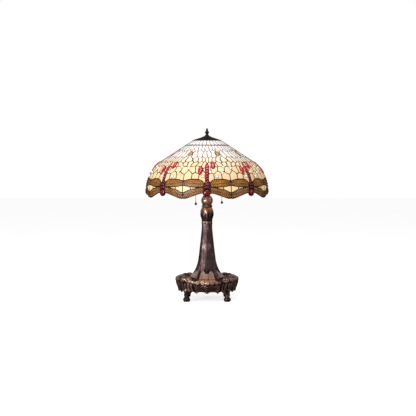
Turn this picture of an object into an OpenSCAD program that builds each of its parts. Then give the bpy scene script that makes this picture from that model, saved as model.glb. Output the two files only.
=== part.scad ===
// Table lamp with a leaded dragonfly shade on a cast, footed bronze base.
// Millimetres, +Z up, origin on the floor under the middle of the base, front towards -Y.

/* [Shade] */
// Radius of the shade at its widest
shade_r = 279.5; // [275:0.5:284]
// Height of the widest part of the shade above the floor
equator_z = 504; // [500:1:508]
// Radius of the shade's top opening
crown_r = 64; // [60:1:70]
// Height of the shade's top edge
crown_z = 731.5; // [725:0.5:740]
// Radius where the straight cone turns into the curved side
turn_r = 206; // [200:1:212]
// Radius of curvature of the side
side_r = 161.4; // [158:0.2:165]
// Thickness of the glass
glass_t = 3; // [2:0.5:4]
// How far the solder stands proud of the glass on each side
lead_proud = 0.8; // [0.4:0.1:1.5]
// Number of dragonflies round the shade
panels = 8; // [8:1:8]
// Panes in each row of the plain glass
row_panes = 32; // [32:32:32]
// Half the angle of the gap between two panes, in degrees
lead_half = 0.5; // [0.3:0.1:0.8]

/* [Dragonflies] */
// Height of the middle of the heads
head_z = 500; // [496:1:504]
// Radius of a head
head_r = 14.5; // [12:0.5:15]
// How far a head bulges out of the shade
head_bulge = 4.5; // [3:0.5:6]
// Height of the tip of the tails
tail_tip_z = 628; // [627:1:634]
// Radius of the ruby cabochons
ruby_r = 9; // [6:0.5:11]
// Radius of the opal cabochons
opal_r = 5; // [3:0.5:6]
// Radius of the amber cabochons
amber_r = 11; // [5:0.5:12]

/* [Base] */
// Radius of the base over its lobes
base_r = 144; // [130:1:150]
// Height of the top of the lobes
base_top_z = 105; // [100:1:110]
// Wall of the base casting
base_wall = 5; // [4:0.5:6]
// Number of lobes round the base
base_lobes = 8; // [8:1:8]
// Distance of each foot from the middle, along X and along Y
foot_xy = 92; // [85:1:95]
// Height of the top of the feet
foot_top_z = 25; // [22:1:28]
// Radius of the hole of the cord bushing
cord_hole_r = 3.75; // [3:0.25:4.5]
// Height of the cord bushing
cord_z = 64; // [60:1:68]

/* [Column] */
// Wall of the shaft casting
shaft_wall = 5; // [4:0.5:6]
// Depth of the flutes, as a share of the radius
flute_depth = 0.1; // [0:0.01:0.15]
// Outer radius of the tie rod
rod_r = 6; // [5:0.25:6.25]

/* [Lights] */
// Height where the three socket axes meet
cluster_z = 492; // [490:1:494]
// Rise of each socket above level, in degrees
socket_rise = 30; // [25:1:35]
// Direction of the first socket, in degrees from +X
socket_turn = -16; // [-20:1:-12]
// Radius of a bulb
bulb_r = 30; // [22:1:32]
// Distance of the pull chains from the axis
chain_out = 71; // [70:0.5:73]
// Radius of the balls on the pull chains
ball_r = 5.75; // [4:0.25:7]
// Radius of the stud that carries the cap
stud_r = 3.1; // [2.5:0.1:3.5]

/* [Hidden] */
$fn = 64;
eps = 0.01;
panel_a = 360 / panels;
row_a = 360 / row_panes;

// Shade wall: a cone from the crown to turn_r, then one arc past the equator to the rim
arc_c = shade_r - side_r;
turn_phi = acos((turn_r - arc_c) / side_r);
turn_z = equator_z + side_r * sin(turn_phi);
cone_a = atan2(crown_z - turn_z, turn_r - crown_r);
function wall_r(z) = z > turn_z
    ? crown_r + (crown_z - z) / tan(cone_a)
    : arc_c + sqrt(side_r * side_r - (z - equator_z) * (z - equator_z));
function wall_normal(z) = z > turn_z
    ? [sin(cone_a), cos(cone_a)]
    : [(wall_r(z) - arc_c) / side_r, (z - equator_z) / side_r];
function wall(z, off) = [wall_r(z), z] + off * wall_normal(z);
// Height of one step of a section along the curved side
arc_step = 20;
function wall_steps(z0, z1) = max(1, ceil((z1 - min(z1, turn_z)) / 200)
    + ceil((min(z1, turn_z) - min(z0, turn_z)) / arc_step));
function wall_z(z0, z1, i, n) = z0 + (z1 - z0) * i / n;
// Section of the wall between two heights and two offsets from its outer face
function wall_section(z0, z1, inner, outer) = let (n = wall_steps(z0, z1)) concat(
    [for (i = [0:n]) wall(wall_z(z0, z1, i, n), outer)],
    [for (i = [n:-1:0]) wall(wall_z(z0, z1, i, n), inner)]);
row_z = [wall_z_at(66), wall_z_at(97), wall_z_at(101), 645, 641, 601, 597];
function wall_z_at(r) = crown_z - (r - crown_r) * tan(cone_a);
rim_z = 472;

// Outlines of one panel's right half, as [distance from the panel's middle, height]
panel_edge = 112;
wing_top = [[16, 540], [21, 551], [38, 557.5], [60, 558.5], [82, 555.5], [98, 553],
    [panel_edge, 551.5]];
wing_under = [[panel_edge, 535], [96, 531], [76, 527.5], [56, 526], [34, 526.5], [16, 527.5]];
gap_top = [[50, 522], [60, 522.5], [76, 524.5], [96, 528], [panel_edge, 531.5]];
gap_under = [[panel_edge, 500], [100, 504], [84, 512], [66, 518.5], [50, 520]];
low_top = [[16, 522], [34, 521], [50, 516.5], [66, 515.5], [84, 509], [100, 500.5],
    [panel_edge, 496]];
low_under = [[panel_edge, 477.5], [98, 477.5], [84, 480.5], [66, 487], [46, 494], [30, 499],
    [17, 501]];
rim_line = [[panel_edge, 472.8], [98, 472.8], [82, 477], [64, 485], [44, 492], [30, 496],
    [16, 496], [0, 496]];
thorax = [[0, 516.5], [9, 516.5], [12, 523], [12.5, 532], [9.5, 541], [7.8, 549]];
tail_half = [[7, 562], [7.6, 590], [7.2, 612], [4, 624], [0, tail_tip_z]];
lead_w = 2.6;
filigree_t = 0.7;
arch_split = 60;
body_gap = 10.3;
hole_half = 8;

// Jewels, as [angle from the panel's middle, height]
ruby_at = [[-6.7, 597], [6.5, 620]];
amber_at = [[17.2, 671]];
opal_at = [[3.3, 590], [-4, 572], [9.6, 571], [17.7, 613], [15.5, 587], [-19.5, 607]];

// Base: the casting's outer line over a lobe as [radius, height], from its flat seat outwards
seat_r = [60, 86];
base_line = [[seat_r[0], 96], [seat_r[1], 96], [96, 99], [base_r - 36, base_top_z - 1.5],
    [base_r - 24, base_top_z], [base_r - 13, 101], [base_r - 5, 92], [base_r - 1, 82],
    [base_r, 73], [base_r - 1.5, 62], [base_r - 4.5, 52]];
skirt_r = base_r - 7;
hub_hole_r = 7;
screw_r = 2.5;
screw_head_z = [4, 7];
screw_top_z = 37.4;
skirt_z = 38;
skirt_arch = 11;
lobe_dip = 0.055;

// Column shaft: radius of the ridges at each height
shaft_line = [[96, 86], [100, 80], [108, 73], [126, 61], [135, 56], [158, 47], [181, 41],
    [227, 35], [273, 29.5], [330, 24.5], [362, 24]];
shaft_top_z = shaft_line[len(shaft_line) - 1][0];
shaft_deck = 8;
// Share of the radius that every flute leaves, so that the wall inside is clear of them
shaft_core = 0.9;
// Lowest and highest point of each turned piece on the shaft
urn_z = [shaft_top_z, 424];
collar_z = [urn_z[1], 436];
ball_z = [collar_z[1], 478];
neck_z = [ball_z[1], 486];

// Lights: distances along a socket's axis from the point where the three axes meet
arm_t = [18, 70];
shell_t = [66, 122];
shell_r = 17;
shell_wall = 1;
core_t = [72, 88];
liner_t = [90, 121];
cap_r = 13.15;
cap_gap = 0.1;
cap_t = [93, 120];
bulb_t = [120, 202];
bulb_wall = 1;
spout_z = [506, 518];
spout_r = 4.2;
spout_hole_r = 2.6;
chain_top_z = 511;
bead = 4;
ball_centre_z = [447, 442, 444];
cover_z = 522;

// Top: the riser, spider, cap and finial
riser_r = 5;
stud_top_z = 764;
spider_z = 716;
spider_t = 5;
cap_top_z = 752.5;
finial_z = 752.7;
finial_top_z = 787;

function turn_of(n) = socket_turn - (n - 1) * 120;
function mix(a, b, t) = a + (b - a) * t;
// Triangles of a ring of loops: each loop is the same closed outline at one angle
function ring_faces(loops, size) = [for (i = [0:loops - 1], j = [0:size - 1])
    let (a = i * size, b = ((i + 1) % loops) * size, k = (j + 1) % size)
        each [[a + j, b + j, a + k], [b + j, b + k, a + k]]];

module ring(r_out, r_in, z0, z1) {
    translate([0, 0, z0]) difference() {
        cylinder(r = r_out, h = z1 - z0);
        translate([0, 0, -1]) cylinder(r = r_in, h = z1 - z0 + 2);
    }
}
module hex_nut(across, r_in, z0, z1) {
    translate([0, 0, z0]) difference() {
        cylinder(r = across / sqrt(3), h = z1 - z0, $fn = 6);
        translate([0, 0, -1]) cylinder(r = r_in, h = z1 - z0 + 2, $fn = 64);
    }
}
module at_feet() {
    for (x = [-1, 1], y = [-1, 1]) translate([x * foot_xy, y * foot_xy, 0]) children();
}

// ---- Base ----
module floor_pads() {
    color("#1d1b1a") at_feet() ring(13, 5.5, 0, 2);
}
module feet() {
    color("#3a2b24") at_feet() difference() {
        rotate_extrude() polygon([[0, 2], [14, 2], [15.6, 4.5], [16, 8], [15.4, 12],
            [13.2, 17], [10.6, 21], [10.6, foot_top_z], [0, foot_top_z]]);
        translate([0, 0, 1]) cylinder(r = 5, h = screw_head_z[1] - 1);
        translate([0, 0, 1]) cylinder(r = screw_r + 0.1, h = 30);
    }
}
module foot_screws() {
    color("#8a8578") at_feet() union() {
        translate([0, 0, screw_head_z[0]]) cylinder(r = 4.5, h = screw_head_z[1] - screw_head_z[0]);
        translate([0, 0, screw_head_z[1] - 0.1])
            cylinder(r = screw_r, h = screw_top_z - screw_head_z[1] + 0.1);
    }
}
module legs() {
    lean = 9;
    color("#3f2e27") for (x = [-1, 1], y = [-1, 1])
        translate([x * foot_xy, y * foot_xy, 0]) difference() {
            hull() {
                translate([0, 0, foot_top_z]) cylinder(r = 11, h = 7, $fn = 32);
                translate([-x * lean, -y * lean, 56]) cylinder(r = 17, h = 4, $fn = 32);
            }
            translate([0, 0, foot_top_z - 1])
                cylinder(r = screw_r, h = screw_top_z - foot_top_z + 2);
        }
}

// Share of the full radius at an angle: 1 on a lobe, less between two lobes
function lobe(a) = 1 - lobe_dip * pow(abs(sin(a * base_lobes / 2)), 1.5);
// The lobes only swell outside the flat seat of the column
function lobed(r, a) = mix(r, r * lobe(a), max(0, min(1, (r - seat_r[1]) / 30)));
function skirt(a) = skirt_z + skirt_arch * abs(sin(a * base_lobes));
function base_loop(a) = concat(
    [[hub_hole_r, base_line[0][1]]],
    [for (p = base_line) [lobed(p[0], a), p[1]]],
    [[lobed(skirt_r, a), skirt(a)], [lobed(skirt_r, a) - base_wall, skirt(a)]],
    [for (i = [len(base_line) - 1:-2:4])
        [lobed(base_line[i][0], a) - base_wall, base_line[i][1] - 1.5]],
    [[lobed(base_r - 32, a), base_top_z - 8], [100, 93], [seat_r[1], 90], [hub_hole_r, 90]]);
module base_casting() {
    loops = 96;
    size = len(base_loop(0));
    points = [for (i = [0:loops - 1]) let (a = i * 360 / loops)
        each [for (p = base_loop(a)) [p[0] * cos(a), p[0] * sin(a), p[1]]]];
    color("#3a2a26") difference() {
        polyhedron(points, ring_faces(loops, size));
        translate([0, base_r - 20, cord_z]) rotate([-90, 0, 0]) cylinder(r = 6, h = 40);
    }
}
module cord_bushing() {
    color("#171513") translate([0, 0, cord_z]) rotate([-90, 0, 0]) {
        ring(6, cord_hole_r, base_r - 12, base_r + 2.5);
        ring(9, 6, base_r, base_r + 2.5);
    }
}
module clamp_washer() {
    color("#8f8876") ring(30, rod_r + 0.3, 86, 90);
}
module base_nut() {
    color("#8f8876") hex_nut(20, rod_r, 78, 86);
}
module tie_rod() {
    color("#9a8f78") ring(rod_r, 4.4, 74, 496);
}

// ---- Column ----
function flute(a) = 1 - flute_depth * pow(abs(sin(4 * a)), 0.8);
function inner_r(k) = shaft_line[k][1] * shaft_core - shaft_wall;
function shaft_inner(i) = [for (k = [i:-1:0]) [inner_r(k), shaft_line[k][0]]];
function shaft_loop(a) = let (top = len(shaft_line) - 1) concat(
    [for (p = shaft_line) [p[1] * flute(a), p[0]]],
    [[hub_hole_r, shaft_top_z], [hub_hole_r, shaft_top_z - shaft_deck]],
    [[inner_r(top), shaft_top_z - shaft_deck]],
    shaft_inner(top - 1));
module column_shaft() {
    loops = 64;
    size = len(shaft_loop(0));
    points = [for (i = [0:loops - 1]) let (a = i * 360 / loops)
        each [for (p = shaft_loop(a)) [p[0] * cos(a), p[0] * sin(a), p[1]]]];
    color("#4a3830") polyhedron(points, [for (f = ring_faces(loops, size)) [f[2], f[1], f[0]]]);
}
module turned(line, bore) {
    rotate_extrude() polygon(concat([[bore, line[0][1]]], line, [[bore, line[len(line) - 1][1]]]));
}
module column_urn() {
    color("#5a4438") turned([[24.5, urn_z[0]], [25.5, 366], [24, 370], [28, 384], [30.5, 397],
        [29.5, 408], [26, 417], [21.3, urn_z[1]]], rod_r + 0.1);
}
module column_collar() {
    color("#6b5343") turned([[21.5, collar_z[0]], [23.7, 427], [23.9, 430], [23.2, 433],
        [21.5, collar_z[1]]], rod_r + 0.1);
}
module column_ball() {
    lobe_r = 27;
    mid = (ball_z[0] + ball_z[1]) / 2 - 1.5;
    color("#7a5c48") turned(concat([[15, ball_z[0]]],
        [for (a = [-42:12:48]) [lobe_r * cos(a), mid + lobe_r * sin(a)]],
        [[15, ball_z[1]]]), rod_r + 0.1);
}
module neck_nut() {
    color("#8a7350") hex_nut(22, rod_r, neck_z[0], neck_z[1]);
}

// ---- Lights ----
module on_socket(n) {
    translate([0, 0, cluster_z]) rotate([0, 0, turn_of(n)]) rotate([0, 90 - socket_rise, 0])
        children();
}
module cluster_body() {
    color("#8a7048") difference() {
        rotate_extrude() polygon([[rod_r, neck_z[1]], [18, neck_z[1]], [24, 494], [25, 505],
            [24, 516], [20, 519], [20, cover_z - 1], [17, cover_z - 1], [17, 516], [21, 512],
            [21, 497], [16, 490], [rod_r, 490]]);
        for (n = [1:3]) on_socket(n) cylinder(r = 5, h = 60);
    }
}
module cluster_cover() {
    color("#8a7048") difference() {
        rotate_extrude() polygon([[0, cover_z - 7], [9, cover_z - 7], [9, cover_z - 1],
            [21, cover_z - 1], [21, cover_z + 1], [14, cover_z + 5], [7, cover_z + 7],
            [0, cover_z + 7]]);
        translate([0, 0, cover_z - 8]) cylinder(r = riser_r, h = 20);
    }
}
module socket_arms() {
    color("#a8925c") for (n = [1:3]) on_socket(n) ring(4.9, 3.4, arm_t[0], arm_t[1]);
}
module socket_shell(n) {
    color("#b39a5c") difference() {
        union() {
            on_socket(n) translate([0, 0, shell_t[0]])
                cylinder(r = shell_r, h = shell_t[1] - shell_t[0]);
            chain_at(n) translate([0, 0, spout_z[0]])
                cylinder(r = spout_r, h = spout_z[1] - spout_z[0]);
        }
        on_socket(n) translate([0, 0, shell_t[0] + 1.5])
            cylinder(r = shell_r - shell_wall, h = shell_t[1]);
        on_socket(n) cylinder(r = 5, h = shell_t[0] + 10);
        chain_at(n) translate([0, 0, spout_z[0] - 1]) cylinder(r = spout_hole_r, h = 20);
    }
}
module socket_liner(n) {
    color("#c9a44a") on_socket(n)
        ring(shell_r - shell_wall, cap_r + cap_gap, liner_t[0], liner_t[1]);
}
module socket_core(n) {
    wire_hole_r = 3;
    color("#e8e2d2") on_socket(n) difference() {
        translate([0, 0, core_t[0]])
            cylinder(r = shell_r - shell_wall, h = core_t[1] - core_t[0]);
        translate([0, 0, core_t[0] - 1]) cylinder(r = wire_hole_r, h = 10);
    }
}
module bulb_cap(n) {
    color("#c0b8a8") on_socket(n) union() {
        translate([0, 0, cap_t[0]]) cylinder(r = cap_r, h = cap_t[1] - cap_t[0]);
        translate([0, 0, cap_t[0] - 3]) cylinder(r = 6, h = 4);
    }
}
// Half section of a bulb's envelope, drawn inset by its wall
function bulb_line(inset) = let (mid = bulb_t[1] - bulb_r, r = bulb_r - inset) concat(
    [for (p = [[12.8, 0], [13.5, 6], [16, 16], [20, 26], [25.5, 37]])
        [p[0] - inset, bulb_t[0] + p[1]]],
    [for (a = [-20:10:80]) [r * cos(a), mid + r * sin(a)]],
    [[0, mid + r]]);
module bulb_glass(n) {
    outer = bulb_line(0);
    inner = bulb_line(bulb_wall);
    color("#f6f0dc") on_socket(n) rotate_extrude() polygon(concat(
        outer, [for (i = [len(inner) - 1:-1:0]) inner[i]]));
}
module chain_at(n) {
    rotate([0, 0, turn_of(n)]) translate([chain_out, 0, 0]) children();
}
module pull_chain(n) {
    bead_r = 1.7;
    link_r = 0.8;
    low = ball_centre_z[n - 1] + ball_r + 2;
    count = floor((chain_top_z - low) / bead);
    color("#b09a62") chain_at(n) rotate_extrude($fn = 16) polygon(concat(
        [[0, chain_top_z - count * bead]],
        [for (i = [0:count - 1], p = [[link_r, 0.4], [bead_r, 1.3], [bead_r, 2.7], [link_r, 3.6]])
            [p[0], chain_top_z - (count - i) * bead + p[1]]],
        [[0, chain_top_z]]));
}
module pull_ball(n) {
    low = ball_centre_z[n - 1];
    count = floor((chain_top_z - low - ball_r - 2) / bead);
    color("#1f1a16") chain_at(n) rotate_extrude($fn = 32) polygon(concat(
        [for (a = [-90:15:60]) [ball_r * cos(a), low + ball_r * sin(a)]],
        [[2.2, low + ball_r + 1], [2.2, chain_top_z - count * bead],
            [0, chain_top_z - count * bead]]));
}

// ---- Top ----
module riser_rod() {
    color("#9a8f78") union() {
        translate([0, 0, cover_z - 7]) cylinder(r = riser_r, h = spider_z - cover_z + 7);
        translate([0, 0, spider_z - eps]) cylinder(r = stud_r, h = stud_top_z - spider_z);
    }
}
module spider_nut() {
    color("#8f8876") hex_nut(17, riser_r, spider_z - 8, spider_z);
}
module shade_spider() {
    hub_r = 9;
    z = spider_z + 0.1;
    color("#94794c") difference() {
        union() {
            translate([0, 0, z]) cylinder(r = hub_r, h = spider_t);
            ring(60, 52, z, z + spider_t);
            for (a = [0:90:270]) rotate([0, 0, a + 45])
                translate([hub_r - 2, -4, z]) cube([52 + 4 - hub_r + 2, 8, spider_t]);
        }
        translate([0, 0, z - 1]) cylinder(r = stud_r + 0.1, h = 20);
    }
}
module crown_ring() {
    foot = spider_z + spider_t + 0.2;
    top = wall(row_z[0], lead_proud);
    color("#94794c") rotate_extrude() polygon([[50, foot], [crown_r - 2, foot],
        wall(row_z[0], -glass_t - lead_proud), top, [60, top[1]], [60, foot + 3],
        [50, foot + 3]]);
}
module heat_cap() {
    foot = wall(row_z[0], lead_proud)[1] + 0.1;
    color("#2c2622") difference() {
        rotate_extrude() polygon([[60.5, foot], [66, foot], [66, foot + 1.6], [50, 737.6],
            [37, 741.8], [25, 746], [14, cap_top_z - 1], [11, cap_top_z], [0, cap_top_z],
            [0, cap_top_z - 1.4], [11, cap_top_z - 1.4], [24, 744.6], [36, 740.4],
            [49, 736.2], [60.5, 732.4]]);
        translate([0, 0, 740]) cylinder(r = stud_r + 0.1, h = 30);
    }
}
module finial() {
    color("#241f1c") difference() {
        rotate_extrude() polygon([[0, finial_z], [10, finial_z], [10, 755], [7, 758],
            [5.6, 760.5], [7.4, 763], [9.5, 766.5], [8.6, 770.5], [5.6, 775], [4.2, 779],
            [4.2, 780.5], [4.6, 783], [3.2, 786], [0, finial_top_z]]);
        translate([0, 0, finial_z - 1]) cylinder(r = stud_r + 0.1, h = stud_top_z - finial_z + 2);
    }
}

// ---- Shade ----
// A slice of the wall, one turn of span degrees centred on the angle mid
module wall_slice(z0, z1, mid, span, inner = -glass_t, outer = 0) {
    rotate([0, 0, mid - span / 2]) rotate_extrude(angle = span)
        polygon(wall_section(z0, z1, inner, outer));
}
// Everything beyond the axis whose outline, seen from outside, is the 2D child
module radial_prism() {
    rotate([90, 0, 0]) linear_extrude(height = 330) children();
}
module at_panels() {
    for (i = [0:panels - 1]) rotate([0, 0, i * panel_a]) children();
}
module both_sides() {
    children();
    mirror([1, 0, 0]) children();
}
// The outlines as 2D shapes for the right half of a panel
module upper_wing_2d() { polygon(concat(wing_top, wing_under)); }
module lower_wing_2d() { polygon(concat(low_top, low_under)); }
module gap_2d() { polygon(concat(gap_top, gap_under)); }
module arch_2d(inner_side) {
    top = row_z[6];
    start = inner_side ? 0 : 3;
    stop = inner_side ? 3 : len(wing_top) - 1;
    shift = inner_side ? 0 : lead_w;
    line = [for (i = [start:stop]) wing_top[i] + [i == 3 ? shift : 0, lead_w]];
    head = inner_side ? [[body_gap, 546], [body_gap, top]] : [[arch_split + lead_w, top]];
    tail = inner_side ? [[arch_split, top]] : [[panel_edge, top]];
    polygon(concat(head, tail, [for (i = [len(line) - 1:-1:0]) line[i]]));
}
module body_2d() {
    half = concat(thorax, tail_half);
    n = len(half);
    polygon(concat(half, [for (i = [n - 2:-1:1]) [-half[i][0], half[i][1]]]));
}
module pane(z0, z1, inner = -glass_t, outer = 0) {
    intersection() {
        wall_slice(z0, z1, -90, panel_a - 2 * lead_half, inner, outer);
        radial_prism() children();
    }
}
// Stands a child on the wall at a jewel's place, with its +Z along the wall's normal
module at_jewel(place) {
    z = place[1];
    tilt = atan2(wall_normal(z)[1], wall_normal(z)[0]);
    rotate([0, 0, -90 + place[0]]) translate([wall_r(z), 0, z]) rotate([0, 90 - tilt, 0])
        children();
}
module jewel(place, r, depth, height) {
    at_jewel(place) rotate_extrude($fn = 32) polygon(concat(
        [[0, -depth], [r, -depth]],
        [for (a = [10:20:70]) [r * cos(a), height * sin(a)]], [[0, height]]));
}
module jewel_hole(place, r) {
    at_jewel(place) translate([0, 0, -hole_half]) cylinder(r = r, h = 2 * hole_half, $fn = 32);
}
module jewel_holes(z0, z1) {
    at_panels() {
        for (p = ruby_at) if (p[1] > z0 && p[1] < z1) jewel_hole(p, ruby_r);
        for (p = amber_at) if (p[1] > z0 && p[1] < z1) jewel_hole(p, amber_r);
        for (p = opal_at) if (p[1] > z0 && p[1] < z1) jewel_hole(p, opal_r);
    }
}
// A row of equal panes with a lead line over the middle of each panel
module pane_row(z0, z1) {
    for (i = [0:row_panes - 1])
        wall_slice(z0, z1, -90 + (i + 0.5) * row_a, row_a - 2 * lead_half);
}
module tail_cuts() {
    at_panels() radial_prism() body_2d();
}
module came_ring() {
    color("#6a5a3a") rotate_extrude()
        polygon(wall_section(row_z[2], row_z[1], -glass_t - 1.2, 1.6));
}
module glass_crown_band() {
    color("#f1ece2") for (i = [0:row_panes - 1])
        wall_slice(row_z[1], row_z[0], -90 + (i + 0.5) * row_a, row_a - 4 * lead_half);
}
module glass_upper_rays() {
    color("#efe9df") difference() {
        pane_row(row_z[3], row_z[2]);
        jewel_holes(row_z[3] - 9, row_z[2]);
    }
}
module glass_middle_row() {
    color("#f2e6c6") difference() {
        pane_row(row_z[5], row_z[4]);
        tail_cuts();
        jewel_holes(row_z[5] - 9, row_z[4] + 9);
    }
}
module glass_arches() {
    color("#f0dfae") difference() {
        at_panels() both_sides() {
            pane(530, row_z[6]) arch_2d(true);
            pane(530, row_z[6]) arch_2d(false);
        }
        jewel_holes(530, row_z[6] + 9);
    }
}
module glass_upper_wings() {
    color("#9a773d") at_panels() both_sides() pane(510, 565) upper_wing_2d();
}
module glass_lower_wings() {
    color("#886442") at_panels() both_sides() pane(rim_z, 520) lower_wing_2d();
}
module glass_gap_panes() {
    color("#f5dba2") at_panels() both_sides() pane(490, 530) gap_2d();
}
module dragonfly_bodies() {
    color("#b02338") at_panels() pane(515, 632, -glass_t, 2) body_2d();
}
module dragonfly_heads() {
    color("#8e1a2a") at_panels() jewel([0, head_z], head_r - 0.05, 4, head_bulge);
}
module ruby_jewels() {
    color("#d8324e") at_panels() for (p = ruby_at) jewel(p, ruby_r - 0.05, 3, 4);
}
module amber_jewels() {
    color("#d99a3a") at_panels() for (p = amber_at) jewel(p, amber_r - 0.05, 3, 3.5);
}
module opal_jewels() {
    color("#fbf6ee") at_panels() for (p = opal_at) jewel(p, opal_r - 0.05, 3, 3);
}
// Solder lines of the plain rows: ribs between the panes and rings between the rows
module came_upper() {
    inner = -glass_t - lead_proud;
    color("#5b4c38") difference() {
        union() {
            for (i = [0:row_panes - 1]) {
                wall_slice(row_z[1], row_z[0], -90 + i * row_a, 4 * lead_half, inner, lead_proud);
                wall_slice(row_z[3], row_z[2], -90 + i * row_a, 2 * lead_half, inner, lead_proud);
                wall_slice(row_z[5], row_z[4], -90 + i * row_a, 2 * lead_half, inner, lead_proud);
            }
            rotate_extrude() polygon(wall_section(row_z[4], row_z[3], inner, lead_proud));
        }
        tail_cuts();
        jewel_holes(row_z[5], row_z[1]);
    }
}
// Solder of the dragonfly band: the wall with every pane's window cut out
module came_lower() {
    inner = -glass_t - lead_proud;
    color("#4a3c2c") at_panels() difference() {
        intersection() {
            wall_slice(rim_z, row_z[5], -90, panel_a, inner, lead_proud);
            radial_prism() both_sides()
                polygon(concat(rim_line, [[0, row_z[5]], [130, row_z[5]], [130, 472.8]]));
        }
        both_sides() {
            window(530, row_z[6]) arch_2d(true);
            window(530, row_z[6]) arch_2d(false);
            window(510, 565) upper_wing_2d();
            window(rim_z, 520) lower_wing_2d();
            window(490, 530) gap_2d();
        }
        radial_prism() body_2d();
        jewel_hole([0, head_z], head_r);
        for (p = ruby_at) if (p[1] < row_z[5] + 9) jewel_hole(p, ruby_r);
        for (p = opal_at) if (p[1] < row_z[5] + 9) jewel_hole(p, opal_r);
    }
}
module window(z0, z1) {
    pane(z0, z1, -glass_t - 3, 3) children();
}
// Pierced brass overlay on the wings: a border and veins on the outside of the glass
module filigree_2d(centre, vein_count) {
    difference() {
        children();
        difference() {
            translate(centre) scale(0.84) translate(-centre) children();
            for (i = [1:vein_count]) translate([20 + i * 84 / (vein_count + 1), 470])
                rotate(8) square([1.6, 100]);
        }
    }
}
module wing_filigree() {
    color("#3a2c1c") at_panels() both_sides() {
        pane(510, 565, 0, filigree_t) filigree_2d([60, 535], 4) upper_wing_2d();
        pane(rim_z, 520, 0, filigree_t) filigree_2d([62, 497], 3) lower_wing_2d();
    }
}

floor_pads();
feet();
foot_screws();
legs();
base_casting();
cord_bushing();
clamp_washer();
base_nut();
tie_rod();
column_shaft();
column_urn();
column_collar();
column_ball();
neck_nut();
cluster_body();
cluster_cover();
socket_arms();
socket_shell(1);  // socket_shell_1
socket_shell(2);  // socket_shell_2
socket_shell(3);  // socket_shell_3
socket_liner(1);  // socket_liner_1
socket_liner(2);  // socket_liner_2
socket_liner(3);  // socket_liner_3
socket_core(1);  // socket_core_1
socket_core(2);  // socket_core_2
socket_core(3);  // socket_core_3
bulb_cap(1);  // bulb_cap_1
bulb_cap(2);  // bulb_cap_2
bulb_cap(3);  // bulb_cap_3
bulb_glass(1);  // bulb_glass_1
bulb_glass(2);  // bulb_glass_2
bulb_glass(3);  // bulb_glass_3
pull_chain(1);  // pull_chain_1
pull_chain(2);  // pull_chain_2
pull_chain(3);  // pull_chain_3
pull_ball(1);  // pull_ball_1
pull_ball(2);  // pull_ball_2
pull_ball(3);  // pull_ball_3
riser_rod();
spider_nut();
shade_spider();
crown_ring();
came_ring();
glass_crown_band();
glass_upper_rays();
glass_middle_row();
glass_arches();
glass_upper_wings();
glass_lower_wings();
glass_gap_panes();
dragonfly_bodies();
dragonfly_heads();
ruby_jewels();
opal_jewels();
amber_jewels();
came_upper();
came_lower();
wing_filigree();
heat_cap();
finial();
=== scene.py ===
"""Looks of the leaded-glass table lamp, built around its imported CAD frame.

Sizes in this script are millimetres, as in the CAD source, and turn into metres where a mesh is made.
Angles round the axis are degrees from the front (-Y), positive towards +X.
"""

import math
import random

import bpy
import numpy as np
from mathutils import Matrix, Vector
from mathutils.geometry import delaunay_2d_cdt


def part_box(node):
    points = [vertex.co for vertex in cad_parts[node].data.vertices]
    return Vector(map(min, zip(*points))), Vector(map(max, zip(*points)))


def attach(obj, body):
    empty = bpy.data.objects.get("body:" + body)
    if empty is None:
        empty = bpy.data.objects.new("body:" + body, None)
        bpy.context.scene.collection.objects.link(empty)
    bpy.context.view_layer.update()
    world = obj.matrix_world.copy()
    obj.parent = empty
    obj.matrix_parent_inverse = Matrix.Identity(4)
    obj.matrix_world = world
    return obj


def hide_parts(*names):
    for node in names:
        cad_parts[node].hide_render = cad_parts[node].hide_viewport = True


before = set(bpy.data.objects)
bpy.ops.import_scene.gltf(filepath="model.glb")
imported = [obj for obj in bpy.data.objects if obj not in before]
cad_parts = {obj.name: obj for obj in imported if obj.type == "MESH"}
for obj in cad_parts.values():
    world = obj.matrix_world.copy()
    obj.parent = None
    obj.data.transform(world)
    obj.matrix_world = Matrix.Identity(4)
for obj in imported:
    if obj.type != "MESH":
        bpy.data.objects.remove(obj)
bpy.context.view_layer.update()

MM = 0.001
TAU = 2 * math.pi


# ---- Mesh helpers ----
def millimetres(node):
    """Lowest and highest corner of a CAD node, in millimetres."""
    low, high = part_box(node)
    return np.array(low) / MM, np.array(high) / MM


def spline(points, step):
    """A smooth curve through the points, with a point about every step."""
    p = np.array(points, float)
    p = np.vstack([2 * p[0] - p[1], p, 2 * p[-1] - p[-2]])
    out = []
    for i in range(1, len(p) - 2):
        count = max(1, int(round(np.linalg.norm(p[i + 1] - p[i]) / step)))
        for k in range(count):
            t = k / count
            out.append(
                0.5 * (2 * p[i] + (p[i + 1] - p[i - 1]) * t
                       + (2 * p[i - 1] - 5 * p[i] + 4 * p[i + 1] - p[i + 2]) * t * t
                       + (3 * p[i] - p[i - 1] - 3 * p[i + 1] + p[i + 2]) * t ** 3)
            )
    out.append(p[-2])
    return np.array(out)


def smoothstep(low, high, value):
    t = np.clip((value - low) / (high - low), 0, 1)
    return t * t * (3 - 2 * t)


def unit(vectors):
    return vectors / np.maximum(np.linalg.norm(vectors, axis=-1, keepdims=True), 1e-9)


def new_object(name, data):
    thing = bpy.data.objects.new(name, data)
    bpy.context.scene.collection.objects.link(thing)
    return thing


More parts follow.
